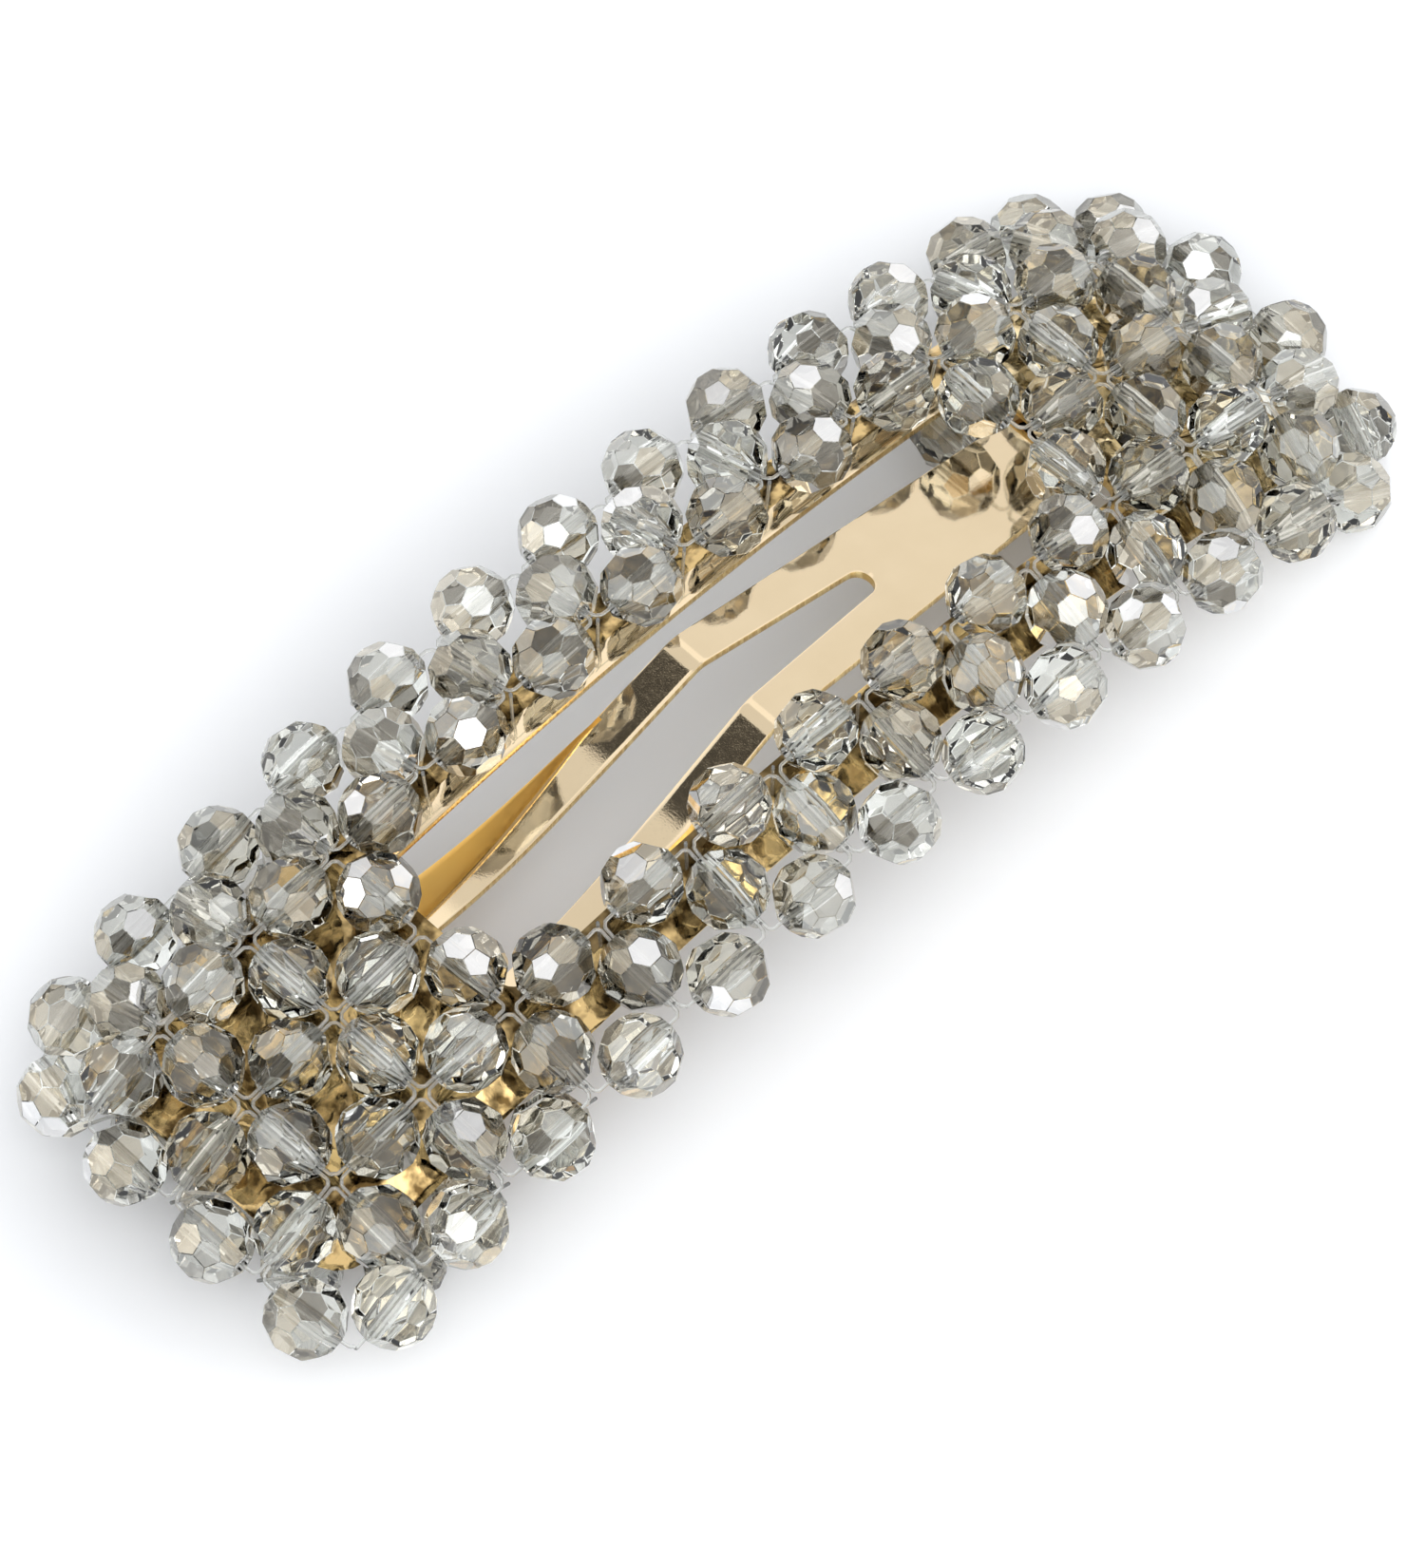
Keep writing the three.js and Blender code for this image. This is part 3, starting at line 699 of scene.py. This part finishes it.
weave = Thread()
for line in range(CELLS_LONG):
    for across in range(CELLS_WIDE):
        if across in (0, 3) or line < TAIL_LINES or line >= HEAD_LINE:
            weave.add(cell_loop(line, across), closed=True)
for line in range(1, CELLS_LONG):
    if TAIL_LINES < line <= HEAD_LINE:
        for side, node in ((0, 1), (4, 3)):
            stitch = [(node, -UNDER_RUN), (node, -PLATE_DROP), (node, STITCH_TOP)]
            weave.add(lashing(line, outer_turn(line, side, UNDER_RUN) + stitch))
    else:
        under = UNDER_RUN + (SHEET + GAP if line == HEAD_LINE + 1 else 0.0)
        passage = [(across, -under) for across in (1, 2, 3)]
        weave.add(lashing(line, outer_turn(line, 0, under) + passage + outer_turn(line, 4, under)[::-1]))
for node, place, across, line, side in SKIRT:
    centre = on_carpet(place, across, -UNDER_BEAD_DROP)
    up = (on_carpet(place, across) - centre).normalized()
    foot = centre - up * (MOUTH + SKIRT_KNOT)
    knot = on_carpet(line, side, -KNOT_DROP)
    weave.add(smooth_route([foot, centre, centre + up * MOUTH, knot], SKIRT_STEPS))
threads = add_mesh("nylon_weave", weave.points, weave.faces, [NYLON], smooth=True)
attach(threads, "clip")


# ---------- sheet metal ----------
class Plan:
    """Left half of a flat sheet seen from above.

    Each block is (edge, count): count rows of faces out to edge(x, inside), where inside tells whether x
    is within the opening. The first block is left out there.
    """

    def __init__(self, stations, blocks, opening):
        self.stations, self.blocks, self.opening = stations, blocks, opening

    def rows(self, x, inside):
        places = [0.0]
        previous = 0.0
        for edge, count in self.blocks:
            here = edge(x, inside)
            places += [previous + (here - previous) * k / count for k in range(1, count + 1)]
            previous = here
        return places


def ladder(low, high, step):
    """X stations from low to high, at most `step` apart."""
    count = max(1, math.ceil((high - low) / step))
    return [low + (high - low) * k / count for k in range(count + 1)]


def rounding(start, radius, steps=6):
    """X stations on a quarter circle that starts square to X at `start` and ends at start + radius."""
    return [start + radius * (1 - math.cos(math.pi / 2 * k / steps)) for k in range(steps + 1)]


def distinct(stations):
    kept = []
    for x in sorted(stations):
        if not kept or x - kept[-1] > 1e-6:
            kept.append(x)
    return kept


def quarter(x, start, radius):
    """How far short of the full width a rounded corner leaves the edge at x."""
    reach = min(max((x - start) / radius, 0.0), 1.0)
    return abs(radius) * (1 - math.sqrt(max(0.0, 1 - (1 - reach) ** 2)))


EDGE_ROUNDING = 0.05
EDGE_ANGLE = math.radians(50)  # edges sharper than this are rounded
SHARP_ANGLE = math.radians(35)  # the shading breaks at edges sharper than this
MERGE_DISTANCE = 1e-4


def bend(plan, height, tone):
    """The plan bent to height(x, y) and mirrored, still without thickness, in the CAD model's frame."""
    low, high = plan.opening
    first_block = plan.blocks[0][1]
    work = bmesh.new()
    columns = []
    for x in plan.stations:
        columns.append([(x, y) for y in plan.rows(x, low <= x <= high)])
    for hand in (1, -1):
        grid = [[work.verts.new((x, hand * y, height(x, y))) for x, y in column] for column in columns]
        for c in range(len(grid) - 1):
            middle = (columns[c][0][0] + columns[c + 1][0][0]) / 2
            for r in range(len(grid[c]) - 1):
                if r < first_block and low < middle < high:
                    continue
                quad = [grid[c][r], grid[c + 1][r], grid[c + 1][r + 1], grid[c][r + 1]]
                face = work.faces.new(quad if hand == 1 else quad[::-1])
                face.material_index = tone(middle, r, hand)
    bmesh.ops.delete(work, geom=[v for v in work.verts if not v.link_faces], context="VERTS")
    bmesh.ops.remove_doubles(work, verts=work.verts, dist=MERGE_DISTANCE)
    for vertex in work.verts:
        vertex.co = at_rest(vertex.co)
    return work


def thicken(piece, edge_slot):
    """Gives the sheet its thickness below its top face, and rounds its edges."""
    thick = piece.modifiers.new("thickness", "SOLIDIFY")
    thick.thickness = SHEET * MM
    thick.offset = -1.0
    thick.material_offset_rim = edge_slot
    rounded = piece.modifiers.new("rounded_edges", "BEVEL")
    rounded.width = EDGE_ROUNDING * MM
    rounded.segments = 2
    rounded.limit_method = "ANGLE"
    rounded.angle_limit = EDGE_ANGLE
    rounded.material = -1
    graph = bpy.context.evaluated_depsgraph_get()
    mesh = bpy.data.meshes.new_from_object(piece.evaluated_get(graph))
    piece.modifiers.clear()
    piece.data = mesh
    piece.data.set_sharp_from_angle(angle=SHARP_ANGLE)


def sheet_piece(name, plan, height, materials, tone):
    """A bent sheet. tone(x, row, hand) is the number of a face's material; the edges have the last one."""
    work = bend(plan, height, tone)
    mesh = bpy.data.meshes.new(name)
    work.to_mesh(mesh)
    work.free()
    for material in materials:
        mesh.materials.append(material)
    mesh.polygons.foreach_set("use_smooth", [True] * len(mesh.polygons))
    piece = bpy.data.objects.new(name, mesh)
    bpy.context.scene.collection.objects.link(piece)
    thicken(piece, len(materials) - 1)
    return piece


FRAME_STEP = 0.8  # mm between the stations of the frame's plan
WINDOW_ROWS = 6
RAIL_ROWS = 12


def frame_outer(x, inside):
    if x < 0:
        return FRAME_HALF_WIDTH - quarter(x, -FRAME_HALF_LENGTH, FRAME_CORNER)
    return FRAME_HALF_WIDTH - quarter(x, FRAME_HALF_LENGTH, -FRAME_CORNER)


def frame_inner(x, inside):
    if not inside:
        return WINDOW_HALF - WINDOW_CORNER
    if x < 0:
        return WINDOW_HALF - quarter(x, WINDOW_TAIL, WINDOW_CORNER)
    return WINDOW_HALF - quarter(x, WINDOW_HEAD, -WINDOW_CORNER)


def frame_plan():
    end, corner = FRAME_HALF_LENGTH, FRAME_CORNER
    stations = rounding(-end, corner) + rounding(end, -corner)
    stations += rounding(WINDOW_TAIL, WINDOW_CORNER) + rounding(WINDOW_HEAD, -WINDOW_CORNER)
    stations += ladder(corner - end, WINDOW_TAIL, FRAME_STEP)
    stations += ladder(WINDOW_TAIL + WINDOW_CORNER, WINDOW_HEAD - WINDOW_CORNER, FRAME_STEP)
    stations += ladder(WINDOW_HEAD, end - corner, FRAME_STEP)
    blocks = [(frame_inner, WINDOW_ROWS), (frame_outer, RAIL_ROWS)]
    return Plan(distinct(stations), blocks, (WINDOW_TAIL, WINDOW_HEAD))


FRAME_GOLDS = [GOLD, GOLD_PAINTED_SHADE_AND_GLINTS, GOLD_HEAD_PAINTED_REFLECTIONS, GOLD_RAIL_PAINTED_SHADE, EDGE_GOLD]
OPEN_TONE, PAINTED_SHADE_TONE, PAINTED_REFLECTION_TONE, RAIL_PAINTED_SHADE_TONE = range(4)  # places in FRAME_GOLDS
PAINTED_SHADE_BEHIND = WINDOW_TAIL  # behind this the whole width of the sheet, which the beads cover, gets painted shade
PAINTED_REFLECTION_AHEAD_OF = WINDOW_HEAD + 1.2  # and ahead of this it gets painted reflections
RAIL_PAINTED_SHADE_ROW = WINDOW_ROWS + 4  # a rail gets painted shade from this row outwards, where the beads cover it
RAIL_DARKEST_PAINTED_SHADE_TO = 5.0  # the open strip of the right rail gets its darkest painted shade behind this


def frame_tone(x, row, hand):
    """Which gold a face of the frame has: open, or with painted shade and reflections where beads lie
    above or beside it.
    """
    if x > PAINTED_REFLECTION_AHEAD_OF:
        return PAINTED_REFLECTION_TONE
    if x < PAINTED_SHADE_BEHIND or row >= RAIL_PAINTED_SHADE_ROW:
        return PAINTED_SHADE_TONE
    if hand > 0:
        return OPEN_TONE
    return RAIL_PAINTED_SHADE_TONE if x < RAIL_DARKEST_PAINTED_SHADE_TO else PAINTED_SHADE_TONE


frame_sheet = sheet_piece(
    "frame_sheet",
    frame_plan(),
    lambda x, y: plate_height(x, y, -PLATE_DROP),
    FRAME_GOLDS,
    frame_tone,
)
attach(frame_sheet, "clip")
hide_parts("frame")

# Side view of the tongue: corner points of its top, and how softly it bends at each.
TIP_X = -33.5
CRANK_X = -0.3
ROOT_END = 36.3
TONGUE_LINE = [
    (TIP_X, -9.3, 0.0),
    (-19.2, -8.75, 2.4),
    (-14.3, -7.85, 2.6),
    (-7.6, -5.28, 0.8),
    (CRANK_X, -2.2, 0.7),
    (FLEX_X, plate_height(FLEX_X, 0.0, ROOT_LIFT), 1.5),
    (ROOT_END, plate_height(ROOT_END, 0.0, ROOT_LIFT), 0.0),
]


def tongue_top(x):
    """Height of the tongue's top: straight runs between the corner points, with soft bends at them."""
    slopes = [(b[1] - a[1]) / (b[0] - a[0]) for a, b in zip(TONGUE_LINE, TONGUE_LINE[1:])]
    height = TONGUE_LINE[0][1] + slopes[0] * (x - TONGUE_LINE[0][0])
    for n in range(1, len(slopes)):
        at, _, softness = TONGUE_LINE[n]
        height += (slopes[n] - slopes[n - 1]) * soft_ramp(x - at, softness)
    return height


# Plan of the tongue: half widths where it changes, its slot and its flanges.
TIP_ROUND = 4.2
TIP_FLAT = 0.5
NARROW_X = -20.0  # from here the tongue narrows towards its root
FOLD_START_X = -6.0  # the flanges begin here and are folded further in until FOLD_END_X
FOLD_END_X = -24.6
FOLD_START_HALF = 4.45
FOLD_END_HALF = 3.3
WIDEST = 6.3
FLEX_HALF = 3.0
ROOT_HALF = 5.3
ROOT_CORNER = 1.5
MARGIN = 0.3  # width kept for the flange's rows where there is no flange
FLANGE_FALL = math.tan(math.radians(20.0))
FLANGE_SOFTNESS = 0.18  # mm over which a flange bends down
SLOT_HEAD = 11.95
SLOT_HEAD_HALF = 0.95
SLOT_HEAD_CORNER = 0.9
SLOT_CRANK_HALF = 1.8  # at CRANK_X
SLOT_TAIL = -24.6
SLOT_TAIL_HALF = 2.55
SLOT_TAIL_CORNER = 1.1
SLOT_SHARE = 0.4  # of the half width that the slot's rows take up behind the slot
SLOT_ROWS = 3
LEG_ROWS = 8
FLANGE_ROWS = 5
CRANK_FROM = -1.5  # the stations are close together from here
CRANK_TO = 0.9  # to here, where the legs bend down
CRANK_STEP = 0.12
LEG_STEP = 0.5
HEAD_STEP = 0.6
PLAIN_STEP = 0.7
FINE_ROUNDING = 10  # stations on the tip's rounding and on the slot's end


def between(x, x0, y0, x1, y1):
    return y0 + (y1 - y0) * (x - x0) / (x1 - x0)


def tongue_edge(x, inside=False):
    if x < TIP_X + TIP_ROUND:
        reach = 1 - (x - TIP_X) / TIP_ROUND
        return TIP_FLAT + (WIDEST - TIP_FLAT) * math.sqrt(max(0.0, 1 - reach * reach))
    if x < NARROW_X:
        return WIDEST
    if x < FOLD_START_X:
        return between(x, NARROW_X, WIDEST, FOLD_START_X, FOLD_START_HALF)
    if x < FLEX_X:
        return between(x, FOLD_START_X, FOLD_START_HALF, FLEX_X, FLEX_HALF)
    shoulder = min((x - FLEX_X) / ROOT_CORNER, 1.0)
    widened = FLEX_HALF + (ROOT_HALF - FLEX_HALF) * math.sin(math.pi / 2 * shoulder)
    return widened - quarter(x, ROOT_END, -ROOT_CORNER)


def tongue_fold(x, inside=False):
    edge = tongue_edge(x)
    share = min(max((FOLD_START_X - x) / (FOLD_START_X - FOLD_END_X), 0.0), 1.0)
    fold = FOLD_START_HALF + (FOLD_END_HALF - FOLD_START_HALF) * share
    return min(fold, edge - MARGIN) if x < FOLD_START_X else edge - MARGIN


def tongue_slot(x, inside):
    if x <= SLOT_TAIL:
        return min(SLOT_TAIL_HALF - SLOT_TAIL_CORNER, tongue_edge(x) * SLOT_SHARE)
    if x >= SLOT_HEAD:
        return SLOT_HEAD_HALF - SLOT_HEAD_CORNER
    if x < CRANK_X:
        half = between(x, SLOT_TAIL + SLOT_TAIL_CORNER, SLOT_TAIL_HALF, CRANK_X, SLOT_CRANK_HALF)
        return min(half, SLOT_TAIL_HALF) - quarter(x, SLOT_TAIL, SLOT_TAIL_CORNER)
    half = between(x, CRANK_X, SLOT_CRANK_HALF, SLOT_HEAD - SLOT_HEAD_CORNER, SLOT_HEAD_HALF)
    return max(half, SLOT_HEAD_HALF) - quarter(x, SLOT_HEAD, -SLOT_HEAD_CORNER)


def tongue_height(x, y):
    folded = 0.0
    if x < FOLD_START_X:
        folded = FLANGE_FALL * soft_ramp(y - tongue_fold(x), FLANGE_SOFTNESS)
    return tongue_top(x) - folded


def tongue_plan():
    stations = rounding(TIP_X, TIP_ROUND, FINE_ROUNDING)
    stations += ladder(TIP_X + TIP_ROUND, SLOT_TAIL, PLAIN_STEP)
    stations += rounding(SLOT_TAIL, SLOT_TAIL_CORNER)
    stations += ladder(SLOT_TAIL + SLOT_TAIL_CORNER, CRANK_FROM, LEG_STEP)
    stations += ladder(CRANK_FROM, CRANK_TO, CRANK_STEP)
    stations += ladder(CRANK_TO, SLOT_HEAD - SLOT_HEAD_CORNER, HEAD_STEP)
    stations += rounding(SLOT_HEAD, -SLOT_HEAD_CORNER, FINE_ROUNDING)
    stations += ladder(SLOT_HEAD, FLEX_X, PLAIN_STEP)
    stations += rounding(FLEX_X + ROOT_CORNER, -ROOT_CORNER)
    stations += ladder(FLEX_X + ROOT_CORNER, ROOT_END - ROOT_CORNER, PLAIN_STEP)
    stations += rounding(ROOT_END, -ROOT_CORNER)
    blocks = [(tongue_slot, SLOT_ROWS), (tongue_fold, LEG_ROWS), (tongue_edge, FLANGE_ROWS)]
    return Plan(distinct(stations), blocks, (SLOT_TAIL, SLOT_HEAD))


TONGUE_GOLDS = [GOLD, GOLD_FLANGE_PAINTED_REFLECTION, EDGE_GOLD]
LEG_TONE, FLANGE_PAINTED_REFLECTION_TONE = range(2)  # places in TONGUE_GOLDS


# The flange's rows get the gold with the painted reflection.
def tongue_tone(x, row, hand):
    flange = x < FOLD_START_X and row >= SLOT_ROWS + LEG_ROWS
    return FLANGE_PAINTED_REFLECTION_TONE if flange else LEG_TONE


tongue_sheet = sheet_piece("tongue_sheet", tongue_plan(), tongue_height, TONGUE_GOLDS, tongue_tone)
FLEX_ZONE = 5.0  # mm round the flex line over which the real tongue bends when it swings
zone_start = at_rest((FLEX_X + FLEX_ZONE / 2, 0.0, tongue_top(FLEX_X + FLEX_ZONE / 2)))
zone_end = at_rest((FLEX_X - FLEX_ZONE / 2, 0.0, tongue_top(FLEX_X - FLEX_ZONE / 2)))
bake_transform(tongue_sheet)
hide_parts("tongue", "tongue_root")

# ---------- rivets ----------
RIVET_SHANK = 0.7
RIVET_HEAD = 1.45
RIVET_RISE = 0.45
RIVET_SIDES = 28
RIVET_RINGS = 5  # steps from the top of a dome to its rim
RIVET_FLAT = 0.02  # radius of the flat on top of a dome
RIVET_SEAT = GAP * 0.3  # between a head and the sheet


def rivet(node, across):
    """Turned rivet through the head plate and the tongue's root, with a low dome on each side."""
    top = RIVET_SEAT
    foot = -SHEET - GAP - SHEET - RIVET_SEAT
    dome = [math.pi / 2 * k / RIVET_RINGS for k in range(RIVET_RINGS + 1)]
    outline = [(RIVET_HEAD * math.sin(a), top + RIVET_RISE * math.cos(a)) for a in dome]
    outline += [(RIVET_SHANK, top), (RIVET_SHANK, foot)]
    outline += [(RIVET_HEAD * math.sin(a), foot - RIVET_RISE * math.cos(a)) for a in dome[::-1]]
    centre = on_carpet(RIVET_LINE, across, -PLATE_DROP)
    up = (on_carpet(RIVET_LINE, across, 0.0) - centre).normalized()
    side = Vector((0.0, 1.0, 0.0))
    front = side.cross(up)
    points, faces = [], []
    for radius, height in outline:
        for k in range(RIVET_SIDES):
            angle = math.tau * k / RIVET_SIDES
            reach = side * math.cos(angle) + front * math.sin(angle)
            points.append(centre + up * height + reach * max(radius, RIVET_FLAT))
    for n in range(len(outline) - 1):
        for k in range(RIVET_SIDES):
            m = (k + 1) % RIVET_SIDES
            a, b = n * RIVET_SIDES, (n + 1) * RIVET_SIDES
            faces.append([a + k, b + k, b + m, a + m])
    faces.append(list(range(RIVET_SIDES)))
    faces.append([len(points) - 1 - k for k in range(RIVET_SIDES)])
    piece = add_mesh(node + "_turned", points, faces, [GOLD_RIVET], smooth=True)
    piece.data.set_sharp_from_angle(angle=SHARP_ANGLE)
    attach(piece, "clip")
    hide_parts(node)


for node, across in zip(("rivet_left", "rivet_right"), RIVET_ACROSS):
    rivet(node, across)

# ---------- floor, light and camera ----------
FLOOR_HALF = 0.9
FLOOR_PAINTED_LIGHT = 0.31  # painted light: the floor's own emission, away from the clip
PAINTED_SHADOW_SLIMNESS = 0.38  # width over length of the oval round the clip that gets no painted light, so a painted shadow
PAINTED_SHADOW_SIDEWAYS = 0.008  # metres from the clip's axis to the middle of that oval
PAINTED_SHADOW_NEAR = 0.012  # half widths in metres where the painted light starts and where it is full
PAINTED_SHADOW_FAR = 0.029


def painted_light_round_clip(tree):
    """Painted light on the floor: none in a long oval round the clip, which leaves a painted shadow there,
    and full a little further out.
    """
    place = tree.nodes.new("ShaderNodeTexCoord")
    squeeze = tree.nodes.new("ShaderNodeMapping")
    squeeze.inputs["Scale"].default_value = (PAINTED_SHADOW_SLIMNESS, 1.0, 1.0)
    squeeze.inputs["Location"].default_value = (0.0, -PAINTED_SHADOW_SIDEWAYS, 0.0)
    reach = tree.nodes.new("ShaderNodeVectorMath")
    reach.operation = "LENGTH"
    ramp = tree.nodes.new("ShaderNodeMapRange")
    ramp.interpolation_type = "SMOOTHSTEP"
    ramp.inputs["From Min"].default_value = PAINTED_SHADOW_NEAR
    ramp.inputs["From Max"].default_value = PAINTED_SHADOW_FAR
    ramp.inputs["To Max"].default_value = FLOOR_PAINTED_LIGHT
    tree.links.new(place.outputs["Object"], squeeze.inputs["Vector"])
    tree.links.new(squeeze.outputs["Vector"], reach.inputs[0])
    tree.links.new(reach.outputs["Value"], ramp.inputs["Value"])
    return ramp.outputs["Result"]


def studio_floor():
    material, tree, shader = new_material("studio_floor")
    paper = two_tones(tree, noise(tree, PAPER_SCALE), (0.75, 0.764, 0.784), (0.77, 0.784, 0.804))
    tree.links.new(paper, shader.inputs["Base Color"])
    shader.inputs["Roughness"].default_value = 0.9
    # The floor emits painted light, which leaves a painted shadow round the clip.
    shader.inputs["Emission Color"].default_value = (1.0, 1.0, 1.0, 1.0)
    tree.links.new(painted_light_round_clip(tree), shader.inputs["Emission Strength"])
    mesh = bpy.data.meshes.new("floor")
    half = FLOOR_HALF
    corners = [(-half, -half, 0.0), (half, -half, 0.0), (half, half, 0.0), (-half, half, 0.0)]
    mesh.from_pydata(corners, [], [(0, 1, 2, 3)])
    mesh.materials.append(material)
    floor = bpy.data.objects.new("floor", mesh)
    bpy.context.scene.collection.objects.link(floor)


def direction(azimuth, elevation):
    """Unit vector towards a compass angle from +X (degrees, anticlockwise) and a height angle."""
    a, e = math.radians(azimuth), math.radians(elevation)
    return Vector((math.cos(a) * math.cos(e), math.sin(a) * math.cos(e), math.sin(e)))


def light_tent(base, panels):
    """World light: even white of radiance `base`, with soft round panels in it.

    A panel is (direction, inner angle, outer angle, radiance), with angles in degrees from its middle.
    """
    world = bpy.data.worlds.new("studio")
    world.use_nodes = True
    bpy.context.scene.world = world
    tree = world.node_tree
    background = tree.nodes["Background"]
    background.inputs["Color"].default_value = (0.985, 0.99, 1.0, 1.0)
    coordinate = tree.nodes.new("ShaderNodeTexCoord")
    current = None
    for towards, inner, outer, radiance in panels:
        dot = tree.nodes.new("ShaderNodeVectorMath")
        dot.operation = "DOT_PRODUCT"
        dot.inputs[1].default_value = towards
        tree.links.new(coordinate.outputs["Generated"], dot.inputs[0])
        mask = tree.nodes.new("ShaderNodeMapRange")
        mask.interpolation_type = "SMOOTHSTEP"
        mask.inputs["From Min"].default_value = math.cos(math.radians(outer))
        mask.inputs["From Max"].default_value = math.cos(math.radians(inner))
        tree.links.new(dot.outputs["Value"], mask.inputs["Value"])
        mix = tree.nodes.new("ShaderNodeMix")
        mix.data_type = "FLOAT"
        mix.inputs["A"].default_value = base
        mix.inputs["B"].default_value = radiance
        tree.links.new(mask.outputs["Result"], mix.inputs["Factor"])
        if current:
            tree.links.new(current, mix.inputs["A"])
        current = mix.outputs["Result"]
    tree.links.new(current, background.inputs["Strength"])


TENT_WHITE = 1.2
TENT_PANELS = [
    # Soft greys that the sheet mirrors: overhead, beyond the left rail and beyond the head.
    (direction(0, 90), 13, 21, 0.85),
    (direction(95, 66), 13, 17, 0.86),
    (direction(28.5, 40), 11, 17, 0.97),
    # A low lamp, and two low dark panels that give the glass its contrast.
    (direction(140, 16), 9, 15, 2.2),
    (direction(185, 32), 8, 13, 0.4),
    (direction(75, 24), 8, 14, 0.45),
    # The main lamp, which casts the shadow.
    (direction(232, 62), 17, 21, 3.0),
    # A small dark panel that a leg of the tongue mirrors.
    (direction(133, 60.3), 4.2, 5.0, 0.075),
]

studio_floor()
light_tent(TENT_WHITE, TENT_PANELS)

CAMERA_AZIMUTH = math.radians(-45.49)
CAMERA_ELEVATION = math.radians(58.06)
CAMERA_DISTANCE = 554.0  # mm from the middle of the bead carpet
AIM_RIGHT = -0.89  # mm from the middle of the carpet to the middle of the picture
AIM_UP = -7.25
LENS = 221.3
SENSOR = 36.0
NEAREST = 0.01  # metres


def studio_camera():
    a, e = CAMERA_AZIMUTH, CAMERA_ELEVATION
    back = Vector((math.sin(a) * math.cos(e), -math.cos(a) * math.cos(e), math.sin(e)))
    right = Vector((math.cos(a), math.sin(a), 0.0))
    up = back.cross(right)
    middle = at_rest((0, 0, 0))
    aim = middle + (right * AIM_RIGHT + up * AIM_UP) * MM
    data = bpy.data.cameras.new("camera")
    data.lens = LENS
    data.sensor_width = SENSOR
    data.clip_start = NEAREST
    camera = bpy.data.objects.new("camera", data)
    camera.location = middle + back * CAMERA_DISTANCE * MM
    camera.rotation_euler = (aim - camera.location).to_track_quat("-Z", "Y").to_euler()
    bpy.context.scene.collection.objects.link(camera)
    bpy.context.scene.camera = camera


studio_camera()
bpy.context.scene.view_settings.view_transform = "Standard"
